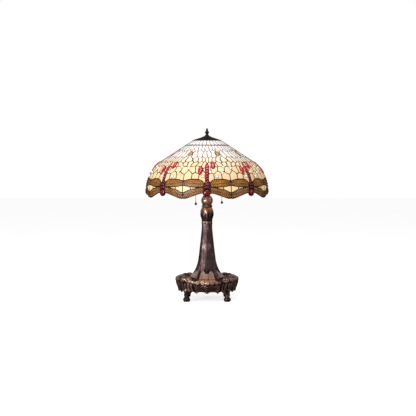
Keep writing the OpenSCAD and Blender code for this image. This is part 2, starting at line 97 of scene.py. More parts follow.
class Gatherer:
    """Solids in millimetres, each point with named values, to be joined into one piece."""

    def __init__(self):
        self.vertices, self.faces, self.values = [], [], {}
        self.count = 0

    def gather(self, points, faces, **values):
        self.vertices.append(points)
        self.faces += [tuple(v + self.count for v in f) for f in faces]
        for key, value in values.items():
            self.values.setdefault(key, []).append(np.broadcast_to(value, len(points)))
        self.count += len(points)

    def piece(self, name, body, look, slot, *nodes):
        """The joined piece, riding on a body and standing for the named CAD nodes. Its values
        become attributes for the material."""
        mesh = bpy.data.meshes.new(name)
        mesh.from_pydata((np.vstack(self.vertices) * MM).tolist(), [], self.faces)
        mesh.validate()
        mesh.update()
        mesh.polygons.foreach_set("use_smooth", [True] * len(mesh.polygons))
        for key, values in self.values.items():
            layer = mesh.attributes.new(key, "FLOAT", "POINT")
            layer.data.foreach_set("value", np.concatenate(values).astype(np.float32))
        mesh.materials.append(MATERIALS[look])
        piece = new_object(name, mesh)
        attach(piece, body)
        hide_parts(*nodes)
        return mesh


def loop_grid(rows, columns):
    """Faces of a grid of points that is closed both ways."""
    faces = []
    for i in range(rows):
        a, b = i * columns, ((i + 1) % rows) * columns
        for j in range(columns):
            k = (j + 1) % columns
            faces.append((a + j, a + k, b + k, b + j))
    return faces


def turned_form(profile, segments, shape=None):
    """Radius and height grids of a profile [radius, height] turned round the axis.
    shape(theta, radius, height, along) may change both; along is the distance on the profile."""
    profile = np.asarray(profile, float)
    theta = (np.arange(segments) * TAU / segments)[None, :]
    along = np.concatenate([[0], np.cumsum(np.linalg.norm(np.diff(profile, axis=0), axis=1))])
    r = np.repeat(profile[:, :1], segments, 1)
    z = np.repeat(profile[:, 1:], segments, 1)
    along = np.repeat(along[:, None], segments, 1)
    if shape is not None:
        r, z = shape(theta, r, z, along)
    return theta, r, z, along


def smoothed(values, rows, columns):
    """A box blur of a grid that wraps along its columns."""
    wide = np.mean([np.roll(values, k, axis=1) for k in range(-columns, columns + 1)], axis=0)
    padded = np.pad(wide, ((rows, rows), (0, 0)), mode="edge")
    return np.mean([padded[k:k + len(values)] for k in range(2 * rows + 1)], axis=0)


class Casting(Gatherer):
    """Solids of revolution with relief on their outside."""

    def add(self, profile, inner, segments, shape=None, relief=None, place=None, shine=None):
        """profile and inner are [radius, height] lines, both upwards. relief(theta, radius,
        height, along) moves the outside along its normal; the highlight function, of the same values,
        paints highlight into the colour, or shade where it is negative, on top of the wear of the
        crests; place moves the finished points."""
        form = turned_form(profile, segments, shape)
        theta, r, z, _ = form
        push = np.zeros(r.shape)
        if relief is not None:
            push = np.broadcast_to(relief(*form), r.shape).copy()
            push[0] = push[-1] = 0
        outside = np.stack([r * np.sin(theta), -r * np.cos(theta), z], -1)
        down = np.gradient(outside, axis=0)
        round_ = np.roll(outside, -1, axis=1) - np.roll(outside, 1, axis=1)
        outside = outside + unit(np.cross(round_, down)) * push[..., None]
        theta, r, z, _ = turned_form(np.asarray(inner, float)[::-1], segments, shape)
        inside = np.stack([r * np.sin(theta), -r * np.cos(theta), z], -1)
        points = np.vstack([outside, inside]).reshape(-1, 3)
        if place is not None:
            points = place(points)
        crest = push - smoothed(push, max(1, len(push) // 12), max(1, segments // 48))
        wear_and_highlight = crest + 0.2 * push
        # painted highlight and painted shade from the casting, added to the wear of the crests
        if shine is not None:
            wear_and_highlight = wear_and_highlight + shine(*form)
        faces = loop_grid(len(outside) + len(inside), segments)
        self.gather(points, faces, relief=np.vstack([wear_and_highlight, np.zeros(r.shape)]).ravel())
        return self


def cast(name, body, look, slot, node, outer, inner, segments, **surface):
    """One casting that is a piece by itself."""
    Casting().add(outer, inner, segments, **surface).piece(name, body, look, slot, node)


# ---- Materials ----
class Shader:
    """A Principled material whose nodes are added one call at a time."""

    def __init__(self, name, **sockets):
        self.material = bpy.data.materials.new(name)
        self.material.use_nodes = True
        self.tree = self.material.node_tree
        self.bsdf = self.tree.nodes["Principled BSDF"]
        self.where = self.add("ShaderNodeTexCoord").outputs["Object"]
        self.fill(self.bsdf, **sockets)

    def add(self, kind, **settings):
        node = self.tree.nodes.new(kind)
        for key, value in settings.items():
            setattr(node, key, value)
        return node

    def feed(self, value, socket):
        """Sets a socket to a number or to sRGB bytes, or links it to a node's output."""
        if isinstance(value, tuple):
            socket.default_value = linear(value)
        elif isinstance(value, (int, float)):
            socket.default_value = value
        else:
            self.tree.links.new(value, socket)

    def fill(self, node, **values):
        """Feeds a node's inputs by name, with _ for a space."""
        for key, value in values.items():
            self.feed(value, node.inputs[key.replace("_", " ")])
        return node

    def noise(self, scale, detail=4.0, roughness=0.55, stretch=None, distortion=0.0):
        where = self.where
        if stretch is not None:
            mapping = self.add("ShaderNodeMapping")
            mapping.inputs["Scale"].default_value = stretch
            self.feed(self.where, mapping.inputs["Vector"])
            where = mapping.outputs["Vector"]
        node = self.fill(self.add("ShaderNodeTexNoise"), Vector=where, Scale=scale, Detail=detail,
                         Roughness=roughness, Distortion=distortion)
        return node.outputs["Fac"]

    def attribute(self, name):
        return self.add("ShaderNodeAttribute", attribute_name=name).outputs["Fac"]

    def height(self):
        return self.fill(self.add("ShaderNodeSeparateXYZ"), Vector=self.where).outputs["Z"]

    def ramp(self, factor, *stops):
        """Colour stops as (place, colour), with colours as sRGB bytes."""
        node = self.add("ShaderNodeValToRGB")
        elements = node.color_ramp.elements
        while len(elements) < len(stops):
            elements.new(0.5)
        for element, (place, colour) in zip(elements, stops):
            element.position = place
            element.color = linear(colour)
        return self.fill(node, Fac=factor).outputs["Color"]

    def remap(self, value, low, high, to_low=0.0, to_high=1.0):
        node = self.fill(self.add("ShaderNodeMapRange"), Value=value, From_Min=low, From_Max=high,
                         To_Min=to_low, To_Max=to_high)
        return node.outputs["Result"]

    def mix(self, factor, a, b):
        node = self.add("ShaderNodeMix", data_type="RGBA")
        for value, place in ((factor, "Factor"), (a, 6), (b, 7)):
            self.feed(value, node.inputs[place])
        return node.outputs[2]

    def plus(self, a, b):
        node = self.add("ShaderNodeMath", operation="ADD")
        self.feed(a, node.inputs[0])
        self.feed(b, node.inputs[1])
        return node.outputs["Value"]

    def bump(self, value, strength, distance):
        node = self.fill(self.add("ShaderNodeBump"), Strength=strength, Distance=distance,
                         Height=value)
        self.fill(self.bsdf, Normal=node.outputs["Normal"])

    def colour(self, value):
        self.fill(self.bsdf, Base_Color=value)

    def rough(self, value):
        self.fill(self.bsdf, Roughness=value)

    def glow(self, value, strength):
        self.fill(self.bsdf, Emission_Color=value, Emission_Strength=strength)


def linear(colour):
    """sRGB bytes as a linear RGBA colour."""
    def channel(v):
        v /= 255
        return v / 12.92 if v <= 0.04045 else ((v + 0.055) / 1.055) ** 2.4
    return (*(channel(v) for v in colour), 1.0)


def bronze(name, deep, body, wear_and_highlight, relief_low, relief_high):
    """Patinated cast bronze: dark in the relief's hollows, rubbed to copper on its crests, copper on
    painted highlights.
    """
    s = Shader(name, Metallic=0.8)
    patches = s.noise(14, 5, 0.6)
    fine = s.noise(160, 3, 0.6)
    height = s.remap(s.attribute("relief"), relief_low, relief_high)
    wear = s.plus(height, s.remap(patches, 0.35, 0.7, -0.28, 0.28))
    base = s.ramp(wear, (0.0, deep), (0.42, body), (0.95, wear_and_highlight))
    s.colour(s.mix(s.remap(fine, 0.4, 0.75, 0.0, 0.35), base, deep))
    s.rough(s.remap(s.plus(patches, height), 0.3, 1.6, 0.5, 0.27))
    s.bump(s.plus(fine, patches), 0.35, 0.0006)
    return s.material


def plain_metal(name, light, dark, roughness, grain=(1, 1, 1), scale=60):
    """Turned or drawn metal with tarnish and fine tool marks."""
    s = Shader(name, Metallic=1.0)
    marks = s.noise(scale * 6, 2, 0.5, grain)
    tarnish = s.noise(scale, 5, 0.65)
    s.colour(s.ramp(tarnish, (0.3, dark), (0.72, light)))
    s.rough(s.remap(marks, 0.3, 0.7, roughness - 0.08, roughness + 0.12))
    s.bump(marks, 0.2, 0.0002)
    return s.material


def opal_sheet(name, stops, low, high, glow, streak=(1.0, 1.0, 0.35)):
    """Streaky art glass: its colour runs down the shade through the stops, and it glows in that
    colour, painted light standing in for the bulbs behind it.
    """
    s = Shader(name, Roughness=0.42)
    along = s.remap(s.height(), low, high)
    streaks = s.noise(38, 6, 0.62, streak, 1.2)
    tint = s.attribute("tint")
    spread = s.plus(s.remap(streaks, 0.3, 0.7, -0.06, 0.06), s.remap(tint, 0, 1, -0.04, 0.04))
    base = s.ramp(s.plus(along, spread), *stops)
    cloud = s.remap(s.noise(17, 4, 0.6), 0.35, 0.7, 0.0, 0.16)
    colour = s.mix(cloud, base, stops[-1][1])
    s.colour(colour)
    s.glow(colour, glow)
    s.bump(s.noise(90, 3, 0.5, streak), 0.25, 0.0008)
    return s.material


def jewel_glass(name, dark, middle, light, glow, low=None, high=None):
    """Pressed glass jewel with a wet gloss, its colour painted light: darker at its rim, lighter and
    glowing in the middle, standing in for the bulbs behind it. Between the heights low and high, if
    given, it is painted lighter upwards, where the bulbs light it more."""
    s = Shader(name, Roughness=0.14, Coat_Weight=0.5, Coat_Roughness=0.05)
    depth = s.attribute("relief")
    swirl = s.noise(120, 3, 0.6)
    shade = s.plus(s.remap(depth, 0.0, 3.2), s.remap(swirl, 0.3, 0.7, -0.15, 0.15))
    if low is not None:
        shade = s.plus(shade, s.remap(s.height(), low, high, -0.45, 0.25))
    colour = s.ramp(shade, (0.05, dark), (0.5, middle), (1.0, light))
    s.colour(colour)
    s.glow(colour, glow)
    s.bump(swirl, 0.08, 0.0005)
    return s.material


def mottled_wing(name, dark, middle, light, glow):
    """Rippled amber-brown glass of the dragonfly wings, glowing in its own colour as painted light
    standing in for the bulbs behind it.
    """
    s = Shader(name, Roughness=0.4)
    mottle = s.noise(130, 4, 0.7, (1, 1, 1.4), 1.5)
    wash = s.noise(24, 3, 0.5)
    tone = s.plus(s.remap(mottle, 0.3, 0.72, 0.0, 0.75), s.remap(wash, 0.3, 0.7, 0.0, 0.3))
    colour = s.ramp(tone, (0.08, dark), (0.5, middle), (0.95, light))
    s.colour(colour)
    s.glow(colour, glow)
    s.bump(mottle, 0.4, 0.001)
    return s.material


def solder(name, dark, light):
    """Patinated solder: brown-black with a few brighter rubbed spots."""
    s = Shader(name, Metallic=0.3)
    beads = s.noise(110, 4, 0.6)
    s.colour(s.ramp(beads, (0.3, dark), (0.75, light)))
    s.rough(s.remap(beads, 0.3, 0.7, 0.68, 0.5))
    s.bump(beads, 0.5, 0.0006)
    return s.material


MATERIALS = {
    "bronze": bronze("cast_bronze", (18, 13, 12), (64, 47, 45), (212, 170, 152), -1.3, 2.2),
    "shaft_bronze": bronze("shaft_bronze", (36, 25, 24), (94, 73, 73), (236, 206, 192), -1.6, 2.8),
    "turned_bronze": bronze("turned_bronze", (28, 20, 18), (90, 67, 62), (214, 178, 164), -1.0,
                            1.1),
    "dark_bronze": bronze("dark_bronze", (20, 16, 13), (40, 32, 26), (92, 76, 62), -0.6, 1.0),
    "steel": plain_metal("zinc_steel", (150, 148, 142), (92, 88, 82), 0.38),
    "brass": plain_metal("spun_brass", (190, 158, 96), (112, 88, 50), 0.3, (1, 1, 8)),
    "bulb_cap": plain_metal("nickel_cap", (196, 192, 182), (128, 122, 112), 0.25, (1, 1, 6)),
    "pull_ball": bronze("pull_ball", (20, 16, 12), (48, 39, 30), (124, 104, 80), -0.5, 0.5),
    "solder": solder("patina_solder", (40, 27, 14), (104, 76, 46)),
    "wing_lead": solder("dark_solder", (14, 10, 8), (46, 36, 26)),
    "filigree": solder("etched_brass", (34, 22, 10), (96, 66, 30)),
    "background": opal_sheet(
        "opal_sheet",
        ((0.0, (232, 196, 142)), (0.4, (232, 200, 152)), (0.49, (234, 208, 170)),
         (0.58, (232, 222, 212)), (1.0, (236, 230, 226))), 0.55, 0.73, 0.37),
    "gap": opal_sheet(
        "cream_gap", ((0.0, (232, 198, 144)), (1.0, (236, 208, 160))), 0.49, 0.54, 0.48),
    "upper_wing": mottled_wing("amber_wing", (92, 52, 12), (168, 106, 34), (222, 164, 74), 0.36),
    "lower_wing": mottled_wing("brown_wing", (84, 46, 18), (156, 100, 48), (208, 150, 86), 0.36),
    "ruby": jewel_glass("ruby_glass", (62, 0, 8), (150, 2, 24), (214, 20, 52), 0.2),
    # The dragonfly bodies are painted lighter towards the top of the tail, where the bulbs behind
    # light them most.
    "body_ruby": jewel_glass("body_ruby_glass", (40, 0, 6), (120, 2, 20), (214, 30, 62), 0.16,
                             0.53, 0.61),
    "dark_ruby": jewel_glass("deep_ruby_glass", (26, 0, 4), (74, 1, 12), (138, 4, 24), 0.1),
    "opal": jewel_glass("opal_jewel", (222, 206, 190), (250, 244, 236), (255, 255, 255), 0.5),
    "amber": jewel_glass("amber_jewel", (78, 42, 10), (142, 88, 34), (190, 136, 74), 0.2),
}


def grained(name, noise, dark, light, bump=None, glow=None, **sockets):
    """A moulded, fired, woven or blown surface: two close tones in a fine grain."""
    s = Shader(name, **sockets)
    grain = s.noise(*noise)
    colour = s.ramp(grain, (0.3, dark), (0.7, light))
    s.colour(colour)
    if bump:
        s.bump(grain, *bump)
    if glow:
        s.glow(colour, glow)
    return s.material


MATERIALS.update(
    felt=grained("felt", (900, 4, 0.7), (18, 17, 16), (46, 43, 40), (0.6, 0.0006), Roughness=0.95),
    bushing=grained("bushing_plastic", (500, 3, 0.6), (14, 13, 12), (30, 28, 26), (0.25, 0.0002),
                    Roughness=0.5),
    porcelain=grained("porcelain", (60, 4, 0.6), (222, 214, 198), (240, 235, 224), Roughness=0.2,
                      Coat_Weight=0.6, Coat_Roughness=0.06),
    liner=grained("card_liner", (260, 4, 0.6, (1, 1, 5)), (150, 118, 66), (196, 162, 104),
                  (0.3, 0.0002), Roughness=0.8),
    bulb=grained("lit_bulb", (30, 3, 0.5), (255, 170, 88), (255, 190, 112), glow=6.0,
                 Roughness=0.3))


# ---- The shade's wall, as in the CAD source ----
LEAD_PROUD = 0.8
GLASS_T = 3.0
CROWN_R, TURN_R, SIDE_R = 64.0, 206.0, 161.4
EQUATOR_Z, RIM_Z, BAND_TOP_R = 504.0, 472.0, 66.0
SHADE_R = millimetres("came_lower")[1][0] - LEAD_PROUD
CROWN_Z = 731.5
ARC_C = SHADE_R - SIDE_R
TURN_Z = EQUATOR_Z + math.sqrt(SIDE_R ** 2 - (TURN_R - ARC_C) ** 2)
CONE_SLOPE = (CROWN_Z - TURN_Z) / (TURN_R - CROWN_R)


def wall_r(z):
    arc = ARC_C + np.sqrt(np.maximum(SIDE_R ** 2 - (z - EQUATOR_Z) ** 2, 0))
    return np.where(z > TURN_Z, CROWN_R + (CROWN_Z - z) / CONE_SLOPE, arc)


def wall_normal(z):
    """Outward normal as (radial, upward)."""
    cone = math.atan(CONE_SLOPE)
    radial = np.where(z > TURN_Z, math.sin(cone), (wall_r(z) - ARC_C) / SIDE_R)
    upward = np.where(z > TURN_Z, math.cos(cone), (z - EQUATOR_Z) / SIDE_R)
    return radial, upward


def cone_z(radius):
    return CROWN_Z - (radius - CROWN_R) * CONE_SLOPE


# Distance down the wall, measured from the top edge of the glass
_z = np.linspace(cone_z(BAND_TOP_R), RIM_Z - 4, 1200)
_s = np.concatenate([[0], np.cumsum(np.hypot(np.diff(_z), np.diff(wall_r(_z))))])


def z_of(s):
    return np.interp(s, _s, _z)


def s_of(z):
    return np.interp(-np.asarray(z, float), -_z, _s)


def on_wall(angle, s, off):
    """Points of the wall at an angle in degrees and a distance down the wall, moved out by off."""
    z = z_of(s)
    radial, upward = wall_normal(z)
    r = wall_r(z) + off * radial
    a = np.radians(angle)
    return np.stack([r * np.sin(a), -r * np.cos(a), z + off * upward], -1)


# ---- The pattern of one panel ----
PANELS = 8
PANEL_A = 360 / PANELS
TURNS = [i * PANEL_A for i in range(PANELS)]
STEP_A = PANEL_A / 300
STEP_S = 0.8
HALF_A = PANEL_A / 2 + PANEL_A / 4      # the grid reaches past the panel's sides
LEAD, THIN_LEAD = 1.95, 1.25
SHAPE_LEAD, CUT_LEAD = 3.2, 0.45
PANEL_EDGE = 112.0
BAND_FOOT_R, RAYS_TOP_R = 97.0, 101.0       # the came ring lies between these radii
RAYS_Z, ARCHES_Z = 650, 595     # heights at which the plain glass changes node

WING_TOP = [(16, 540), (21, 551), (38, 557.5), (60, 558.5), (82, 556), (98, 551.5), (107, 547.5),
            (PANEL_EDGE, 545)]
WING_UNDER = [(PANEL_EDGE, 539), (107, 536.5), (96, 532.5), (76, 528), (56, 526), (34, 526.5),
              (16, 527.5)]
GAP_TOP = [(50, 522), (60, 522.5), (76, 524.5), (96, 528), (PANEL_EDGE, 531.5)]
GAP_UNDER = [(PANEL_EDGE, 500), (100, 504), (84, 512), (66, 518.5), (50, 520)]
LOW_TOP = [(16, 522), (34, 521), (50, 516.5), (66, 515.5), (84, 509), (100, 500.5),
           (PANEL_EDGE, 496)]
LOW_UNDER = [(PANEL_EDGE, 477.5), (98, 477.5), (84, 480.5), (66, 487), (46, 494), (30, 499),
             (17, 501)]
RIM_LINE = [(0, 496), (16, 496), (30, 496), (44, 492), (64, 485), (82, 477), (98, 472.8),
            (PANEL_EDGE, 472.8)]
BODY = [(0, 516.5), (9, 516.5), (12, 523), (12.5, 532), (9.5, 541), (7.8, 549), (7, 562),
        (7.6, 590), (7.2, 612), (4, 624), (0, 628)]
BODY_CUTS = [528, 541, 552.5, 564, 575.5, 587, 598.5, 610]
GAP_LINE_X = 73.0
HEAD_Z, HEAD_R = 500.0, 13.6
# Jewels of a panel: places as (angle, height), half sizes, and the lead round them
JEWELS = {
    "ruby": ([(-6.7, 597), (6.5, 620)], (9.0, 21.0), 1.8),
    "amber": ([(17.2, 671)], (11.0, 17.0), 1.8),
    "opal": ([(3.3, 590), (-4, 572), (9.6, 571), (17.7, 613), (15.5, 587), (-19.5, 607)],
             (6.0, 6.0), 1.6),
}
# Rows of the plain glass from the top: height and number of cells in a panel
CELL_ROWS = [(702, 6), (666, 6), (642, 8), (624, 8), (603, 6), (568, 6), (527, 6)]
KINDS = ["rays", "middle", "arches", "band", "upper_wing", "lower_wing", "gap", "body", "head",
         "ruby", "amber", "opal"]


def holds(points, x, y):
    """Which of the places lie inside a closed line."""
    inside = np.zeros(x.shape, bool)
    for (x0, y0), (x1, y1) in zip(points, np.roll(points, -1, axis=0)):
        if y0 != y1:
            inside ^= ((y0 > y) != (y1 > y)) & (x < x0 + (y - y0) * (x1 - x0) / (y1 - y0))
    return inside


def outline_distance(x, z, points):
    """Signed distance to a closed outline, negative inside."""
    best = np.full(x.shape, 1e9)
    for (x0, z0), (x1, z1) in zip(points, np.roll(points, -1, axis=0)):
        ex, ez = x1 - x0, z1 - z0
        t = np.clip(((x - x0) * ex + (z - z0) * ez) / (ex * ex + ez * ez + 1e-12), 0, 1)
        best = np.minimum(best, np.hypot(x - x0 - t * ex, z - z0 - t * ez))
    return np.where(holds(points, x, z), -best, best)


def wing_outline(top, under):
    """The closed outline of a wing or gap pane, with its long sides smoothed."""
    return np.vstack([spline(top, 6), spline(under, 6)])


def from_middle(a):
    """Angle from the middle of the nearest panel."""
    return (a + PANEL_A / 2) % PANEL_A - PANEL_A / 2


class Panel:
    """Labels and distances of one panel on a grid of angle by distance down the wall."""

    def __init__(self):
        self.a = np.arange(-HALF_A, HALF_A + STEP_A / 2, STEP_A)
        self.s = np.arange(0, s_of(RIM_Z - 3), STEP_S)
        self.grid_a, self.grid_s = np.meshgrid(self.a, self.s)
        self.z = z_of(self.grid_s)
        self.r = wall_r(self.z)
        self.local = from_middle(self.grid_a)
        self.x = self.r * np.sin(np.radians(self.local))
        self.kind = np.full(self.z.shape, -1)
        self.field = np.full(self.z.shape, -1.0)
        self.build()

    def take(self, kind, field):
        """Gives the points with a positive field to a kind."""
        won = (field > 0) & (field > self.field)
        self.kind[won] = KINDS.index(kind)
        self.field = np.maximum(self.field, field)

    def arc(self, degrees):
        """Length round the wall of an angle."""
        return degrees * math.pi / 180 * self.r

    def kind_at(self, a, s):
        """Kind of the grid point nearest to each place."""
        rows = np.clip(np.round(s / STEP_S).astype(int), 0, len(self.s) - 1)
        columns = np.clip(np.round((a - self.a[0]) / STEP_A).astype(int), 0, len(self.a) - 1)
        return self.kind[rows, columns]

    def ellipse(self, place, half):
        """Signed distance to an ellipse drawn on the wall, negative inside."""
        dx = self.arc(self.local - place[0])
        dy = self.grid_s - s_of(place[1])
        length = np.hypot(dx / half[0], dy / half[1])
        slope = np.hypot(dx / half[0] ** 2, dy / half[1] ** 2) / np.maximum(length, 1e-6)
        return (length - 1) / np.maximum(slope, 1e-6)

    def build(self):
        x, z = np.abs(self.x), self.z
        upper = outline_distance(x, z, wing_outline(WING_TOP, WING_UNDER))
        lower = outline_distance(x, z, wing_outline(LOW_TOP, LOW_UNDER))
        gap = outline_distance(x, z, wing_outline(GAP_TOP, GAP_UNDER))
        half_body = spline(BODY, 4)
        mirrored = half_body[-2:0:-1] * np.array([-1, 1])
        body = outline_distance(self.x, z, np.vstack([half_body, mirrored]))
        head = np.hypot(self.x, z - HEAD_Z) - HEAD_R
        edge = self.arc(PANEL_A / 2 - np.abs(self.local)) - LEAD
        self.take("upper_wing", np.minimum(-upper, edge))
        self.take("lower_wing", np.minimum(-lower, edge))
        self.take("gap", np.minimum(np.minimum(-gap, edge), np.abs(x - GAP_LINE_X) - LEAD))
        cuts = np.min([np.abs(self.grid_s - s_of(c)) for c in BODY_CUTS], axis=0) - CUT_LEAD
        self.take("body", np.minimum(np.minimum(-body, cuts), head - SHAPE_LEAD))
        self.take("head", -head)
        jewels = []
        for kind, (places, half, line) in JEWELS.items():
            jewel = np.min([self.ellipse(p, half) for p in places], axis=0)
            self.take(kind, -jewel)
            jewels.append(jewel - line)
        line = spline([(0, 546)] + WING_TOP, 6)
        above = z - np.interp(x, line[:, 0], line[:, 1])
        shapes = jewels + [body - SHAPE_LEAD * 0.6, upper - SHAPE_LEAD, above - SHAPE_LEAD]
        lead = LEAD + (THIN_LEAD - LEAD) * smoothstep(630, 670, z)
        plain = np.min([self.cell_distance() - lead] + shapes, axis=0)
        plain = np.minimum(plain, self.grid_s - s_of(cone_z(RAYS_TOP_R)))
        self.take("rays", np.where(z > RAYS_Z, plain, -1))
        self.take("middle", np.where((z <= RAYS_Z) & (z > ARCHES_Z), plain, -1))
        self.take("arches", np.where(z <= ARCHES_Z, plain, -1))
        self.take("band", self.band_distance())
        for side in (self.field[0], self.field[-1], self.field[:, 0], self.field[:, -1]):
            side[:] = -1

    def band_distance(self):
        """The crown band: four narrow panes in a panel, with gently leaning sides."""
        foot = s_of(cone_z(BAND_FOOT_R))
        lean = self.local + 2.2 * np.sin(self.grid_s / foot * math.pi)
        pitch = PANEL_A / 4
        side = self.arc(pitch / 2 - np.abs(lean % pitch - pitch / 2)) - THIN_LEAD
        return np.minimum(side, np.minimum(foot - self.grid_s, self.grid_s - 0.8))

    def cell_distance(self):
        """Distance in millimetres to the nearest line between two cells of the plain glass."""
        rng = random.Random(11)
        row_s = [float(s_of(z)) for z, _ in CELL_ROWS]
        row_q = [0.0]
        for (_, n0), (_, n1) in zip(CELL_ROWS, CELL_ROWS[1:]):
            row_q.append(row_q[-1] + 0.866 * (PANEL_A / n0 + PANEL_A / n1) / 2)
        slope_top = (row_q[1] - row_q[0]) / (row_s[1] - row_s[0])
        slope_end = (row_q[-1] - row_q[-2]) / (row_s[-1] - row_s[-2])
        knots_s = [row_s[0] - 100] + row_s + [row_s[-1] + 100]
        knots_q = [-100 * slope_top] + row_q + [row_q[-1] + 100 * slope_end]
        kernel = np.hanning(25) / np.hanning(25).sum()
        q_line = np.interp(self.s, knots_s, knots_q)
        q_line = np.convolve(np.pad(q_line, 12, mode="reflect", reflect_type="odd"), kernel, "valid")
        per_mm = np.gradient(q_line, self.s)[:, None]
        seeds = []
        for i, (q, (_, count)) in enumerate(zip(row_q, CELL_ROWS)):
            pitch = PANEL_A / count
            for k in range(count):
                shift = 0.5 if i % 2 else 0.0
                a = -PANEL_A / 2 + (k + shift) * pitch + rng.uniform(-0.13, 0.13) * pitch
                seeds.append((a, q + rng.uniform(-0.12, 0.12) * pitch))
        seeds = np.array([(a + shift, q) for shift in (-PANEL_A, 0, PANEL_A) for a, q in seeds])
        turn = self.local * TAU / PANEL_A
        lean = np.exp(-((self.z - 632) / 18) ** 2)
        waves = np.exp(-((self.z - 690) / 30) ** 2)
        a = self.grid_a + lean * 3.4 * np.sin(turn) * (self.z - 622) / 14
        a = a + waves * 1.1 * np.sin(self.grid_s / 7.5 + 2 * turn)
        q = q_line[:, None] + 0.5 * np.sin(3 * turn + self.grid_s / 11) * (1 - waves)
        q = np.broadcast_to(q, a.shape)
        far = np.stack([(a - sa) ** 2 + (q - sq) ** 2 for sa, sq in seeds])
        nearest = far.argmin(0)
        own = np.take_along_axis(far, nearest[None], 0)[0]
        best = np.full(a.shape, 1e9)
        own_a, own_q = seeds[nearest, 0], seeds[nearest, 1]
        mm_per_deg = self.r * math.pi / 180
        for (sa, sq), d in zip(seeds, far):
            gap_a, gap_q = sa - own_a, sq - own_q
            size = np.hypot(gap_a, gap_q)
            with np.errstate(divide="ignore", invalid="ignore"):
                across = (d - own) / (2 * size)
                pull = np.hypot(gap_a / size / mm_per_deg, gap_q / size * per_mm)
                dist = np.where(size > 1e-6, across / pull, 1e9)
            best = np.minimum(best, dist)
        return best

    def sample(self, values, a, s):
        """Bilinear reading of a grid at angles and distances."""
        u = np.clip((a - self.a[0]) / STEP_A, 0, len(self.a) - 1.001)
        v = np.clip(s / STEP_S, 0, len(self.s) - 1.001)
        i, j = v.astype(int), u.astype(int)
        fu, fv = u - j, v - i
        return ((values[i, j] * (1 - fu) + values[i, j + 1] * fu) * (1 - fv)
                + (values[i + 1, j] * (1 - fu) + values[i + 1, j + 1] * fu) * fv)


# Which sides of a grid square a line joins, by the signs of its corners, positive on the left
SQUARE_LINES = {1: ((0, 3),), 2: ((1, 0),), 3: ((1, 3),), 4: ((2, 1),), 5: ((0, 3), (2, 1)),
                6: ((2, 0),), 7: ((2, 3),), 8: ((3, 2),), 9: ((0, 2),), 10: ((1, 0), (3, 2)),
                11: ((1, 2),), 12: ((3, 1),), 13: ((0, 1),), 14: ((3, 0),)}


def contours(field):
    """Closed lines where the field is zero, as arrays of (column, row)."""
    up = field > 0
    code = up[:-1, :-1] + 2 * up[:-1, 1:] + 4 * up[1:, 1:] + 8 * up[1:, :-1]
    rows, columns = np.nonzero((code > 0) & (code < 15))
    following, width = {}, field.shape[1]
    for i, j in zip(rows.tolist(), columns.tolist()):
        sides = (2 * (i * width + j), 2 * (i * width + j + 1) + 1,
                 2 * ((i + 1) * width + j), 2 * (i * width + j) + 1)
        for start, end in SQUARE_LINES[int(code[i, j])]:
            following[sides[start]] = sides[end]
    loops = []
    while following:
        key = next(iter(following))
        line = []
        while key in following:
            line.append(key)
            key = following.pop(key)
        points = []
        for side in line:
            i, j = divmod(side // 2, width)
            i1, j1 = (i + 1, j) if side % 2 else (i, j + 1)
            f0, f1 = field[i, j], field[i1, j1]
            t = f0 / (f0 - f1)
            points.append((j + t * (j1 - j), i + t * (i1 - i)))
        loops.append(np.array(points))
    return loops


def simplify(points, tolerance):
    """The points of a closed line that its shape needs (Douglas and Peucker's rule)."""
    far = int(np.argmax(np.linalg.norm(points - points[0], axis=1)))

    def reduce(part):
        if len(part) < 3:
            return [part[0]]
        chord = part[-1] - part[0]
        length = np.linalg.norm(chord) + 1e-12
        off = np.abs(chord[0] * (part[:, 1] - part[0, 1]) - chord[1] * (part[:, 0] - part[0, 0]))
        k = int(off.argmax())
        if off[k] / length <= tolerance:
            return [part[0]]
        return reduce(part[:k + 1]) + reduce(part[k:])

    closed = np.vstack([points, points[:1]])
    return np.array(reduce(closed[:far + 1]) + reduce(closed[far:]))


def area_of(points):
    x, y = points[:, 0], points[:, 1]
    return 0.5 * float(np.sum(x * np.roll(y, -1) - np.roll(x, -1) * y))


FLAT_R = 220.0      # radius at which the wall is unrolled to be triangulated
FLAT = FLAT_R * math.pi / 180
DOMES = {"body": (6.2, 3.2), "head": (13.0, 4.5), "ruby": (9.0, 5.0), "amber": (10.0, 4.0),
         "opal": (6.0, 4.2)}


def degrees_at(points):
    """Angles of points given as length round the wall and distance down it."""
    return points[:, 0] / (np.pi / 180 * wall_r(z_of(points[:, 1])))


class Pane:
    """One closed line of the pattern: a piece of glass, or a hole in one."""

    def __init__(self, flat, tolerance):
        true = np.stack([flat[:, 0] * np.pi / 180 * wall_r(z_of(flat[:, 1])), flat[:, 1]], 1)
        self.area = area_of(true)
        self.true = simplify(true, tolerance)
        a = degrees_at(self.true)
        self.flat = np.stack([a * FLAT, self.true[:, 1]], 1)
        self.middle = float(a.mean())


def panes_of(panel, field, tolerance, smallest):
    """The panes that a field's zero lines bound, without the specks."""
    panes = []
    for line in contours(field):
        flat = np.stack([panel.a[0] + line[:, 0] * STEP_A, line[:, 1] * STEP_S], 1)
        pane = Pane(flat, tolerance)
        if abs(pane.area) > smallest and len(pane.flat) > 2:
            panes.append(pane)
    return panes


